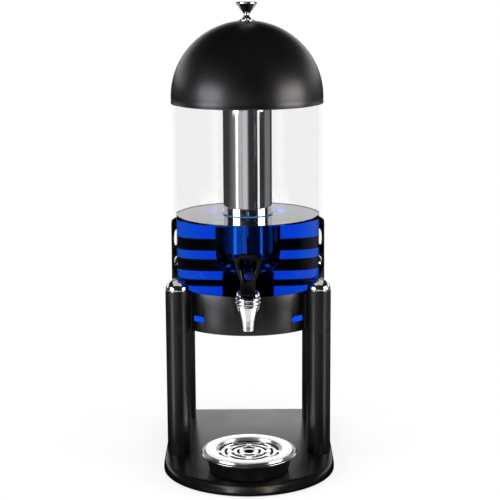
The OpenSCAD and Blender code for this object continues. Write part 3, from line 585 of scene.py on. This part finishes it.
paper = add(tree, "ShaderNodeBsdfTransparent", {"Color": linear("#fcfcfc")})
sheen = add(tree, "ShaderNodeBsdfGlossy", {"Color": linear("#ffffff"), "Roughness": 0.02})
empty = add(tree, "ShaderNodeMixShader", {0: 0.012, 1: paper.outputs[0], 2: sheen.outputs[0]})
both = add(tree, "ShaderNodeMixShader", {
    0: share.outputs[0], 1: filled.outputs[0], 2: empty.outputs[0]})
add(tree, "ShaderNodeOutputMaterial", {"Surface": both.outputs[0]})
shell = [(0, box_low.z), (wall_out, box_low.z, 1.2), (wall_out, box_high.z, 1.0),
         (wall_in, box_high.z, 1.0), (wall_in, floor_top, 1.5), (0, floor_top)]
piece("clear_container", turned(shell, axis_y, 160), acrylic, "vessel", "clear_acrylic", "container")


# ---- juice
# The drink in the container, with the ice tube standing in it. It wets both walls, so its surface
# turns up a little at each, and it reaches just into the acrylic so that no air shows between.
juice_r, juice_low, round_tube = wall_in + 0.15, floor_top - 0.15, 32.6

# A clear blue drink: water-like surface, and a dye that takes red at once, green in some
# centimetres and blue hardly at all
juice, tree = blank("blue_drink")
water = add(tree, "ShaderNodeBsdfPrincipled", {
    "Base Color": linear("#ffffff"), "Transmission Weight": 1.0, "Roughness": 0.0, "IOR": 1.34,
    "Specular Tint": linear("#303030")})
dye = add(tree, "ShaderNodeVolumeAbsorption", {"Color": linear("#00c0f8"), "Density": 36.0})
add(tree, "ShaderNodeOutputMaterial", {"Surface": water.outputs[0], "Volume": dye.outputs[0]})
drink = [(25.7, juice_low), (juice_r, juice_low, 1.5), (juice_r, juice_top + 0.5),
         (95.4, juice_top + 0.3), (94.4, juice_top + 0.12), (92.5, juice_top + 0.03),
         (90.0, juice_top), (38.5, juice_top), (36.0, juice_top + 0.05), (34.4, juice_top + 0.3),
         (33.4, juice_top + 0.8), (round_tube, juice_top + 1.4), (round_tube, 276.1), (31.7, 265.2),
         (29.3, 257.1), (25.3, 251.2), (24.8, 246.6), (25.7, 246.1)]
piece("blue_juice", turned(drink, axis_y, 160), juice, "vessel", "blue_juice", "juice_fill")


# ---- core seat
# The post that the ice tube plugs on: a moulded black plastic boss, screwed up through the
# container's floor with a stainless screw and a sealing washer.
def moulded_plastic(name, tone, rough, shine=0.5):
    """Injection-moulded plastic: even colour with a low sheen, faint flow clouds and a 1.8 mm spark
    texture, drawn coarser than the real one."""
    material, tree = blank(name)
    surface(tree, speckle(tree, 18, 2.0), rough, speckle(tree, 1.8, 1.0), 0.06, 0.2,
            {"Base Color": linear(tone), "Specular IOR Level": shine})
    return material


black_plastic = moulded_plastic("black_moulded_plastic", "#0c0c0d", (0.28, 0.36))
core_low, core_high = corners("core_seat")
core_r, core_foot, socket_r, socket_z = core_high.x, core_low.z + 0.05, 22.0, core_high.z - 4.5
post = [(0, core_foot), (core_r, core_foot, 0.3), (core_r, core_high.z, 1.0),
        (socket_r, core_high.z, 0.4), (socket_r, socket_z), (0, socket_z)]
piece("core_post", turned(post, axis_y), black_plastic, "vessel", "black_plastic", "core_seat")
dress(black_rubber, "core_washer", "tube_cushion")
dress(machined_steel, "core_screw")


# ---- ice tube
# The chilling tube: deep-drawn steel, its foot necked in to a spigot, chromed inside and out, with
# a rolled bead round the mouth. It is filled with ice and stands on the core seat.
tube_low, tube_high = corners("ice_tube")
tube_r, tube_steel, spigot_r, foot = tube_high.x, 1.5, 21.5, tube_low.z + 5.5


def shoulder(step):
    """Half-profile of the necked foot, drawn in by step mm."""
    first = (25.5 - step, foot + step, 1.0 if step else 2.0)
    return [first] + [(r - step, foot + up, bend) for r, up, bend in (
        (25.5, 3.1, 1.5), (27.6, 5.6, 1.5), (29.5, 9.0, 3), (31.2, 14.0, 4), (32.3, 20.5, 6),
        (tube_r, 28.0, 8))]


tube = [(0, tube_low.z), (spigot_r, tube_low.z, 0.6), (spigot_r, foot)] + shoulder(0)
tube += [(tube_r, tube_high.z), (tube_r - tube_steel, tube_high.z)]
tube += shoulder(tube_steel)[::-1] + [(0, foot + tube_steel)]
piece("chilling_tube", turned(tube, axis_y, 128), chrome, "ice_core", "chrome", "ice_tube")
rim_low, rim_high = corners("tube_rim")
bead_r = (rim_high.z - rim_low.z) / 2
bead = [(rim_high.x - bead_r + bead_r * cos(a * pi / 10), rim_low.z + bead_r + bead_r * sin(a * pi / 10))
        for a in range(20)]
piece("rolled_rim", turned(bead, axis_y, 128), chrome, "ice_core", "chrome", "tube_rim")


# ---- lid
# The lid: a half ball spun from steel sheet, with a straight skirt that slips over the container's
# mouth and ends in a curled bead. A plastic ring and a gasket inside locate it on the ice tube.
dome_black = powder_coat("powder_coated_spun_steel", "#070708", "#0b0b0d", (0.33, 0.38))
dome_low, dome_high = corners("lid_dome")
dome_r, dome_z, dome_sheet, skirt_in, skirt_top = 101.8, box_high.z, 2.6, 100.8, 4.8
flat_r, crown_drop, rim_lift = 11.5, 1.4, 2.4
flatter = 1 - crown_drop / dome_r
crown_z, rim_z = dome_high.z - crown_drop, dome_low.z + rim_lift


def dome_arc(r, first, last, steps):
    """A run of the dome's wall, a little flatter than a half ball, between two angles from the top."""
    turns = [first + (last - first) * i / steps for i in range(steps + 1)]
    return [(r * sin(t), dome_z + r * cos(t) * flatter) for t in turns]


inside_r = dome_r - dome_sheet
dome = [(0, crown_z), (flat_r, crown_z)] + dome_arc(dome_r, asin(flat_r / dome_r), pi / 2, 60)[1:]
dome += [(dome_r, rim_z + 1.7), (dome_r + 0.28, rim_z + 1.2), (dome_r + 0.3, rim_z + 0.7),
         (dome_r + 0.05, rim_z + 0.2), (dome_r - 0.5, rim_z), (skirt_in, rim_z, 0.2),
         (skirt_in, dome_z + skirt_top)]
dome += dome_arc(inside_r, acos(skirt_top / inside_r), 0, 40)
dome[-1] = (0, dome[-1][1])
piece("spun_dome", turned(dome, axis_y, 160), dome_black, "lid", "black_steel", "lid_dome")
dress(black_plastic, "lid_ring")
dress(black_rubber, "lid_gasket", "knob_washer")
dress(machined_steel, "knob_screw")

knob_low, knob_high = corners("lid_knob")
knob_r, knob_foot_r = knob_high.x, 10.3
finial = [(0, crown_z), (knob_foot_r, crown_z, 0.2), (knob_foot_r, crown_z + 1.3, 0.5),
          (6.4, crown_z + 3.0, 3), (4.1, crown_z + 6.0, 4), (3.5, crown_z + 9.0, 3),
          (6.2, knob_low.z + 10.8, 6), (knob_r, knob_high.z - 2.0, 0.5),
          (knob_r, knob_high.z - 0.5, 0.4), (knob_r - 0.6, knob_high.z, 0.3), (0, knob_high.z)]
piece("cone_knob", turned(finial, axis_y), chrome, "lid", "chrome", "lid_knob")


# ---- tap body
# The tap: a cast brass body with a trumpet spout, turned and chromed, on a threaded shank that goes
# through the container's wall between two washers and is held by a hexagon nut inside.
tap_y, tap_z = -91.0, 222.0
spout = [(5.5, -24.4, 0.4), (7.4, -24.4, 0.5), (7.75, -18.5, 12), (8.65, -10.5, 20), (10.2, -3.3, 30),
         (11.9, 3.0, 20), (13.0, 6.6, 0.3), (14.9, 7.4, 0.5), (14.9, 9.2, 0.7), (13.6, 10, 0.3),
         (12.9, 10), (12.9, 16, 0.4), (8.0, 16, 0.3), (8.0, -5.1), (5.5, -8.1)]


def lying(profile, y0, z0=tap_z, steps=64):
    """Solid of revolution about a level axis at height z0: the profile's z runs back from y0."""
    bm = turned(profile, steps=steps)
    tilt = Matrix.Translation(Vector((0, y0, z0)) * MM) @ Matrix.Rotation(-pi / 2, 4, "X")
    bmesh.ops.transform(bm, matrix=tilt, verts=bm.verts)
    return bm


body = turned(spout, tap_y, base_z=tap_z)
join(body, lying([(6.0, 4), (10.0, 4), (10.0, 34.6, 0.8), (14.5, 35.5, 0.5), (14.5, 38.4, 0.4),
                  (6.0, 38.4)], tap_y))
satin_chrome = bright_chrome("satin_chrome_plate", "#e6e7e9", (0.16, 0.24))
piece("tap_casting", body, satin_chrome, "vessel", "chrome", "tap_body")
collar = [(12.9, 10.05), (15.2, 10.05)]
for middle in (12.45, 17.55):
    collar += [(14.45 + 2.35 * cos(a * pi / 16), middle + 2.4 * sin(a * pi / 16)) for a in range(-7, 8)]
collar += [(15.2, 19.95), (14.6, 19.95), (14.6, 16.1), (12.9, 16.1)]
piece("tap_ring", turned(collar, tap_y, base_z=tap_z), chrome, "vessel", "chrome", "tap_collar")
bonnet = [(12.0, 16.1), (14.5, 16.1), (14.5, 20), (15.9, 20.02, 0.3), (15.8, 22, 2), (14.9, 24.5, 4),
          (13.0, 26.8, 4), (10.5, 28.4, 4), (8.5, 28.7), (0, 28.7), (0, 26.9), (8.0, 26.9, 2),
          (10.5, 25.5, 2), (12.0, 23.5, 1)]
slot_size, slot_middle = Vector((19.8, 40, 24)) * MM, Vector((0, tap_y - 24.5, tap_z + 29.5)) * MM
slot = bmesh.new()
bmesh.ops.create_cube(slot, size=1.0, matrix=Matrix.Translation(slot_middle)
                      @ Matrix.Diagonal(slot_size).to_4x4())
bonnet = turned(bonnet, tap_y, base_z=tap_z)
piece("domed_bonnet", carved("domed_bonnet", bonnet, slot, edge_mm=0.4), chrome, "vessel", "chrome",
      "tap_bonnet")
dress(chrome, "tap_nut", "tap_shank")
dress(machined_steel, "lever_pin", "valve_stem")
dress(black_rubber, "tap_washer_outer", "tap_washer_inner", "seat_cup", "stem_gland")


# ---- lever
# The tap's lever: an open loop moulded in glossy black plastic, with a raised frame round its
# window and a shallow panel below it that holds the round blue cold mark.
lever_gloss = moulded_plastic("glossy_black_plastic", "#040405", (0.10, 0.16), 0.25)
lever_front, lever_back, pin_z = tap_y - 12.0, tap_y - 5.0, 23.5
half = [(9.5, pin_z), (9.5, 42.4), (10.5, 44.4), (11.85, 47.4), (14.28, 56.4), (16.22, 64.4),
        (17.45, 67.6)]
half += [(13.6 + 4 * cos(radians(a)), 68.4 + 4 * sin(radians(a))) for a in (5, 20, 35, 50)]
half += [(7.04 + 5 * cos(radians(a)), 71.4 + 5 * sin(radians(a))) for a in (57.4, 68, 79, 90)]
outline = half + [(-x, z) for x, z in half[::-1]]


def grown_ring(loop, out, y):
    """A closed loop of (x, z) in the tap's frame, counter-clockwise, moved outwards by out mm, at
    depth y."""
    ring = []
    for i, (x, z) in enumerate(loop):
        before, after = Vector(loop[i - 1]), Vector(loop[(i + 1) % len(loop)])
        u, v = (Vector((x, z)) - before).normalized(), (after - Vector((x, z))).normalized()
        side = Vector((u.y + v.y, -u.x - v.x)).normalized()
        reach = out / max(side.dot(Vector((u.y, -u.x))), 0.5)
        ring.append((x + side.x * reach, y, z + side.y * reach + tap_z))
    return ring


edge_round = 1.2
edge = [(edge_round * (1 - cos(a * pi / 12)), edge_round * (1 - sin(a * pi / 12))) for a in range(7)]
loop_body = skin([grown_ring(outline, -inset, lever_front + depth) for inset, depth in edge[::-1]]
                 + [grown_ring(outline, -inset, lever_back - depth) for inset, depth in edge])
window = [(9.0, 53.8), (11.3, 66.6), (10.4, 68.0), (-10.4, 68.0), (-11.3, 66.6), (-9.0, 53.8)]
panel = [(6.2, 42.3), (7.1, 43.4), (9.0, 54.6), (-9.0, 54.6), (-7.1, 43.4), (-6.2, 42.3)]
flare = 0.9
cuts = skin([grown_ring(window, out, y) for out, y in (
    (flare + 1, lever_front - 1), (flare, lever_front), (0, lever_front + flare),
    (0, lever_back - flare), (flare, lever_back), (flare + 1, lever_back + 1))])
mark_low, mark_high = corners("lever_mark")
mark_r, mark_z = mark_high.x, (mark_low.z + mark_high.z) / 2
pocket_r, pocket_deep = mark_r + 0.15, 2.2
join(cuts, skin([grown_ring(panel, out, y) for out, y in (
    (1.6, lever_front - 1), (0.6, lever_front), (0, lever_front + flare))]),
     lying([(0, -3), (pocket_r, -3), (pocket_r, pocket_deep), (0, pocket_deep)], lever_front, mark_z, 48))
handle = bmesh.new()
join(handle, carved("tap_handle", loop_body, cuts, edge_mm=0.15, crossing=True))
barrel = turned([(2.1, -9.5, 0.2), (3.2, -9.5, 0.5), (3.2, 9.5, 0.5), (2.1, 9.5, 0.2)], steps=40)
bmesh.ops.transform(barrel, verts=barrel.verts, matrix=Matrix.Translation(
    Vector((0, tap_y - 8.5, tap_z + pin_z)) * MM) @ Matrix.Rotation(pi / 2, 4, "Y"))
finger = [(-9.5, 20.5), (-9.5, 17.0), (0.2, 17.0), (1.2, 17.6), (1.2, 18.8), (0.2, 19.3),
          (-4.6, 19.3), (-5.2, 20.5)]
finger_wide = 3.1
join(handle, barrel, *[skin([[(x + dx, tap_y + y, tap_z + z) for y, z in finger]
                             for dx in (0, finger_wide)]) for x in (-6.2, 3.1)])
piece("tap_handle", handle, lever_gloss, "tap_lever", "lever_plastic", "tap_lever")
mark_blue = moulded_plastic("blue_moulded_plastic", "#060c6c", (0.1, 0.16), 0.25)
button = [(0, 0), (2.4, 0.12), (mark_r - 0.9, 0.4), (mark_r, 0.9, 0.3), (mark_r, 1.75), (0, 1.75)]
piece("cold_mark", lying(button, mark_low.y, mark_z, 48), mark_blue, "tap_lever", "mark_plastic",
      "lever_mark")


# ---- drip tray
# The drip tray under the tap: a moulded black bowl with a turned-out lip, a chromed ring laid on the
# lip, and inside it a lift-out grille pressed from stainless sheet.
tray_low, tray_high = corners("tray_bowl")
tray_y, lip_r, lip_under = (tray_low.y + tray_high.y) / 2, tray_high.x, tray_high.z - 2
bowl = [(0, tray_low.z), (50.0, tray_low.z, 1.0), (51.0, tray_low.z + 1.0, 0.6), (55.5, lip_under, 0.8),
        (lip_r, lip_under, 0.5), (lip_r, tray_high.z, 0.4), (53.5, tray_high.z, 1.0),
        (49.0, tray_low.z + 2, 2.0), (0, tray_low.z + 2)]
piece("drip_bowl", turned(bowl, tray_y, 128), black_plastic, "drip_tray", "black_plastic", "tray_bowl")
ring_low, ring_high = corners("tray_rim")
ring_in, ring_foot = 57.5, ring_low.z + 0.02
ring = [(ring_in, ring_foot), (ring_high.x - 0.3, ring_foot, 0.5), (ring_high.x, ring_low.z + 1.2, 0.7),
        (ring_high.x - 1.4, ring_high.z, 1.0), (ring_in, ring_high.z, 0.5)]
piece("chromed_ring", turned(ring, tray_y, 160), satin_chrome, "drip_tray", "chrome", "tray_rim")


# ---- grille
# The grille: a stainless disc pressed down in the middle, the sunk floor punched with rings of
# staggered arc slots, and its edge turned down to stand on the tray's lip.
grille_low, grille_high = corners("tray_grille")
plate_r, sunk_r, sunk_z, sheet_t = grille_high.x, 42.5, grille_high.z - 4.0, 1.5

# Stainless sheet brushed in circles: bright, with fine rings about 0.8 mm apart round the disc's
# middle, drawn coarser than the real 0.2 mm so that they show. The upright walls of the punched
# slots are coloured dark: painted shade in the slots, over some real dark burr
brushed, tree = blank("circle_brushed_stainless")
where = add(tree, "ShaderNodeTexCoord").outputs["Object"]
where = add(tree, "ShaderNodeMapping", {
    "Vector": where, "Location": (0, -tray_y * MM, 0), "Scale": (1, 1, 0)}).outputs["Vector"]
radius = add(tree, "ShaderNodeVectorMath", {0: where}, operation="LENGTH").outputs["Value"]
rings = add(tree, "ShaderNodeTexNoise", {"W": radius, "Scale": 1 / (0.8 * MM), "Detail": 2.0},
            noise_dimensions="1D").outputs["Fac"]
normal = add(tree, "ShaderNodeNewGeometry").outputs["True Normal"]
known = {"radius": radius, "facing_up": add(tree, "ShaderNodeSeparateXYZ", {0: normal}).outputs["Z"]}
for name, operation, *terms in (
        ("level", "ABSOLUTE", "facing_up"), ("upright", "LESS_THAN", "level", 0.5),
        ("within", "LESS_THAN", "radius", (sunk_r - 1) * MM), ("slot_shade_and_burr", "MULTIPLY", "upright", "within")):
    terms = dict(enumerate(known.get(term, term) for term in terms))
    known[name] = add(tree, "ShaderNodeMath", terms, operation=operation).outputs[0]
# The dark tone on the punched slots' upright walls is painted shade in the slots, with some real burr
tone = add(tree, "ShaderNodeMix", {0: known["slot_shade_and_burr"], 6: linear("#e8e8e6"), 7: linear("#1c1c1c")},
           data_type="RGBA")
surface(tree, rings, (0.16, 0.3), rings, 0.12, 0.1, {"Metallic": 1.0, "Base Color": tone.outputs[2]})

plate_under, sunk_under = grille_high.z - sheet_t, sunk_z - sheet_t
disc = [(0, sunk_z), (sunk_r, sunk_z, 0.6), (sunk_r + 0.3, grille_high.z, 0.8),
        (plate_r, grille_high.z, 0.9), (plate_r, grille_low.z, 0.2),
        (plate_r - sheet_t, grille_low.z, 0.2), (plate_r - sheet_t, plate_under, 0.3),
        (sunk_r + sheet_t, plate_under, 0.4), (sunk_r + sheet_t, sunk_under, 0.8), (0, sunk_under)]
punch_low, punch_high = sunk_under - 2, sunk_z + 2


def arc_cutter(r, width, sweep):
    """A round-ended arc slot of that middle radius and width, as a block through the sunk floor."""
    return skin([[((r + q) * cos(a), (r + q) * sin(a), z) for q, z in
                  ((-h, punch_low), (h, punch_low), (h, punch_high), (-h, punch_high))]
                 for a, h in slot_path(r, width, sweep, 6, radians(4))])


arc_ring, given = new_tree("arc_ring", ("count", "Int"), ("turned_by", "Float"))
spots = add(arc_ring, "GeometryNodeMeshLine", {"Count": given["count"], "Offset": (0, 0, 0)})
pitch = add(arc_ring, "ShaderNodeMath", {0: 2 * pi, 1: given["count"]}, operation="DIVIDE")
angle = add(arc_ring, "ShaderNodeMath", {
    0: add(arc_ring, "GeometryNodeInputIndex").outputs[0], 1: pitch.outputs[0], 2: given["turned_by"]},
            operation="MULTIPLY_ADD")
place_copies(arc_ring, given, spots.outputs["Mesh"], angle.outputs[0])

eye_r, arc_width, ring_pitch = 6.4, 3.3, 8.0
punch = turned([(0, punch_low), (eye_r, punch_low), (eye_r, punch_high), (0, punch_high)], tray_y, 48)
for i, count in enumerate((6, 6, 4, 4)):
    r = sunk_r - 4.5 - ring_pitch * i
    gap = 5 / r + radians(4)
    punch.from_mesh(grown(
        arc_ring, arc_cutter(r, arc_width, 2 * pi / count - gap), count=count, finish=brushed,
        turned_by=pi / count * (1 + i % 2), middle_y=tray_y * MM))
piece("slotted_grille", carved("slotted_grille", turned(disc, tray_y, 160), punch, edge_mm=0.15),
      brushed, "tray_grille", "stainless", "tray_grille")


# ---- studio
# A white paper sweep in a dark room with grey screens. A soft lamp and a low strip lamp stand on each
# side, flagged off the base and the container, and small strips and cards light one piece each.

# Matt white paper: far off it is as white as the backdrop, so no horizon shows. Within about
# 0.22 m of the object mirrors see it black, a painted shadow, and farther out they look past it into the
# dark room
white_paper, tree = blank("matt_white_floor")
rays = add(tree, "ShaderNodeLightPath").outputs
where = add(tree, "ShaderNodeTexCoord").outputs["Object"]
away = add(tree, "ShaderNodeVectorMath", {0: where}, operation="LENGTH").outputs["Value"]
matt = add(tree, "ShaderNodeBsdfPrincipled", {
    "Base Color": linear("#f8f8f8"), "Roughness": 0.9, "Specular IOR Level": 0.1})
white = add(tree, "ShaderNodeEmission")
fade = add(tree, "ShaderNodeMapRange", {
    "Value": away, "From Min": 0.16, "From Max": 0.34, "To Min": 0.75})
share = add(tree, "ShaderNodeMath", {0: fade.outputs[0], 1: rays["Is Camera Ray"]},
            operation="MULTIPLY")
both = add(tree, "ShaderNodeMixShader", {0: share.outputs[0], 1: matt.outputs[0], 2: white.outputs[0]})
# Painted shadow: to reflections the floor is black near the object, and see-through farther out
mirrored_shadow = add(tree, "ShaderNodeMapRange", {"Value": away, "From Min": 0.22, "From Max": 0.26})
past = add(tree, "ShaderNodeBsdfTransparent", {"Color": mirrored_shadow.outputs[0]})
told = add(tree, "ShaderNodeMixShader", {
    0: rays["Is Glossy Ray"], 1: both.outputs[0], 2: past.outputs[0]})
add(tree, "ShaderNodeOutputMaterial", {"Surface": told.outputs[0]})

ground = bmesh.new()
bmesh.ops.create_circle(ground, cap_ends=True, segments=64, radius=0.62)
floor = placed("floor", ground)
coat(floor, white_paper)

world = bpy.data.worlds.new("studio")
scene.world = world
world.use_nodes = True
tree = world.node_tree
tree.nodes.clear()
towards = add(tree, "ShaderNodeTexCoord").outputs["Generated"]
sources = add(tree, "ShaderNodeLightPath"), add(tree, "ShaderNodeSeparateXYZ", {0: towards})
known = {socket.name: socket for source in sources for socket in source.outputs}

# What mirrors see low down: screens by compass angle from the front, left negative
screens = add(tree, "ShaderNodeValToRGB")
known["screens"] = screens.outputs["Color"]
stops = [(-180, 0.03), (-100, 0.04), (-70, 0.20), (-58, 0.30), (-56, 2.0), (-46, 2.0), (-44, 0.60),
         (-22, 0.50), (-20, 0.75), (-4, 0.75), (6, 0.05), (48, 0.03), (50, 1.4), (58, 1.4), (60, 0.03),
         (85, 0.05), (95, 0.25), (125, 0.25), (145, 0.03), (180, 0.03)]
ramp = screens.color_ramp.elements
for _ in stops[2:]:
    ramp.new(0.5)
for stop, (angle, brightness) in zip(ramp, stops):
    stop.position = angle / 360 + 0.5
    stop.color = (brightness, brightness, brightness, 1)

# The screens reach from belt_low to belt_high. Looked at steeply, the table in front is white. The
# white sweep stands behind the object, 6 to 20 degrees up, and is brightest low down
for name, along, start, end, at_start, at_end in (
        ("belt_low", "Z", -0.27, -0.235, 0.05, 1.0), ("belt_high", "Z", 0.0, 0.10, 1.0, 0.04),
        ("table", "Z", -0.38, -0.50, 0.0, 0.9), ("sweep_wide", "Y", 0.30, 0.42, 0.0, 1.0),
        ("sweep_foot", "Z", 0.06, 0.12, 0.0, 1.0), ("sweep_head", "Z", 0.345, 0.385, 0.8, 0.0),
        ("sweep_glow", "Z", 0.22, 0.28, 2.0, 1.0)):
    known[name] = add(tree, "ShaderNodeMapRange", {
        "Value": known[along], "From Min": start, "From Max": end, "To Min": at_start,
        "To Max": at_end}).outputs[0]

# What the camera sees straight or through clear pieces is white; dull surfaces get an even fill
for name, operation, *terms in (
        ("front", "MULTIPLY", "Y", -1.0), ("compass", "ARCTAN2", "X", "front"),
        ("once_round", "MULTIPLY_ADD", "compass", 1 / (2 * pi), 0.5),
        ("walls", "MULTIPLY", "belt_low", "belt_high"), ("walls", "MULTIPLY", "walls", "screens"),
        ("walls", "MAXIMUM", "walls", 0.02), ("walls", "MAXIMUM", "walls", "table"),
        ("sweep", "MULTIPLY", "sweep_wide", "sweep_foot"), ("sweep", "MULTIPLY", "sweep", "sweep_glow"),
        ("sweep", "MULTIPLY", "sweep", "sweep_head"), ("room", "MAXIMUM", "sweep", "walls"),
        ("bounced", "ADD", "Glossy Depth", "Diffuse Depth"), ("straight", "LESS_THAN", "bounced", 0.5),
        ("through", "MULTIPLY", "Is Transmission Ray", "straight"),
        ("seen", "MAXIMUM", "Is Camera Ray", "through"), ("fill", "MULTIPLY", "Is Diffuse Ray", 0.8),
        ("level", "MAXIMUM", "seen", "room"), ("level", "MAXIMUM", "level", "fill")):
    terms = dict(enumerate(known.get(term, term) for term in terms))
    known[name] = add(tree, "ShaderNodeMath", terms, operation=operation).outputs[0]
tree.links.new(known["once_round"], screens.inputs[0])
sky = add(tree, "ShaderNodeBackground", {"Color": (1, 1, 1, 1), "Strength": known["level"]})
add(tree, "ShaderNodeOutputWorld", {"Surface": sky.outputs[0]})


def soft_box(name, azimuth, height, distance, width, tall, brightness, tone, aim_z, receivers):
    """A soft lamp, azimuth degrees to the right of the camera's side, aimed at the object's axis at
    the height aim_z, with the collection that its light is linked to."""
    lamp = bpy.data.lights.new(name, "AREA")
    lamp.shape, lamp.size, lamp.size_y = "RECTANGLE", width, tall
    lamp.energy = brightness * pi * width * tall
    lamp.color = linear(tone)[:3]
    obj = bpy.data.objects.new(name, lamp)
    t = radians(azimuth)
    obj.location = (distance * sin(t), axis_y * MM - distance * cos(t), height)
    aim = Vector((0, axis_y * MM, aim_z)) - obj.location
    obj.rotation_euler = aim.to_track_quat("-Z", "Y").to_euler()
    obj.light_linking.receiver_collection = receivers
    scene.collection.objects.link(obj)
    return obj


def collected(name, *pieces):
    """A collection of pieces that lamps are linked to."""
    collection = bpy.data.collections.new(name)
    for label in pieces:
        collection.objects.link(bpy.data.objects[label])
    return collection


flagged = collected("kept_dark_by_flags", "base_pan", "clear_container")
for shaded in flagged.collection_objects:
    shaded.light_linking.link_state = "EXCLUDE"
for lamp in (("left_lamp", -55, 0.60, 1.5, 0.95, 0.55, 9.0, "#f4f5ff", 0.5),
             ("right_lamp", 69, 0.60, 1.5, 1.0, 0.55, 9.0, "#fff9f6", 0.5),
             ("left_strip", -51, -0.31, 1.5, 0.34, 0.56, 5.0, "#f4f5ff", -0.31),
             ("right_strip", 57, -0.31, 1.5, 0.34, 0.56, 3.6, "#fffaf6", -0.31)):
    soft_box(*lamp, flagged)

# Short strips in an arch on each side draw the glints on the base's rim
lit_plate = collected("lit_base_pan", "base_pan")
for i, (azimuth, distance, height) in enumerate((
        (61, 0.29, 1.19), (31.8, 0.67, 1.10), (25, 1.0, 0.89), (22.6, 1.26, 0.57), (21.5, 1.38, 0.23))):
    for side, turn, tone in (("left", -1, "#ffffff"), ("right", 1.06, "#fff0d4")):
        soft_box(f"{side}_strip_{i}", azimuth * turn, height, distance, 0.12, 0.45, 8.5, tone, 0.0,
                 lit_plate)
soft_box("rear_card", 180, 0.66, 1.5, 2.0, 0.52, 0.85, "#ffffff", 0.1,
         collected("lit_slotted_grille", "slotted_grille"))
soft_box("cap_card", 0, 1.3, 0.01, 1.6, 1.6, 0.7, "#fff4f0", 0.2, collected("lit_ball_caps", "ball_caps"))
lit_spout = collected("lit_tap_casting", "tap_casting")
for side, azimuth in (("left", -65.4), ("right", 65.4)):
    card = soft_box(side + "_spout_card", azimuth, 0.02, 0.36, 0.40, 0.30, 0.9, "#ffffff", 0.2, lit_spout)
    card.visible_camera = False

camera = bpy.data.cameras.new("camera")
camera.sensor_width, camera.lens, camera.shift_y, camera.clip_end = 36.0, 97.22, -0.04, 50
eye_at, pitch_down, roll = Vector((2.94, -1753.04, 632.6)) * MM, 10.416, -0.32
eye = bpy.data.objects.new("camera", camera)
eye.matrix_world = (Matrix.Translation(eye_at) @ Matrix.Rotation(radians(90 - pitch_down), 4, "X")
                    @ Matrix.Rotation(radians(roll), 4, "Z"))
scene.collection.objects.link(eye)
scene.camera = eye
scene.view_settings.view_transform = "Standard"
light = scene.cycles
light.max_bounces, light.transmission_bounces, light.glossy_bounces = 24, 20, 10
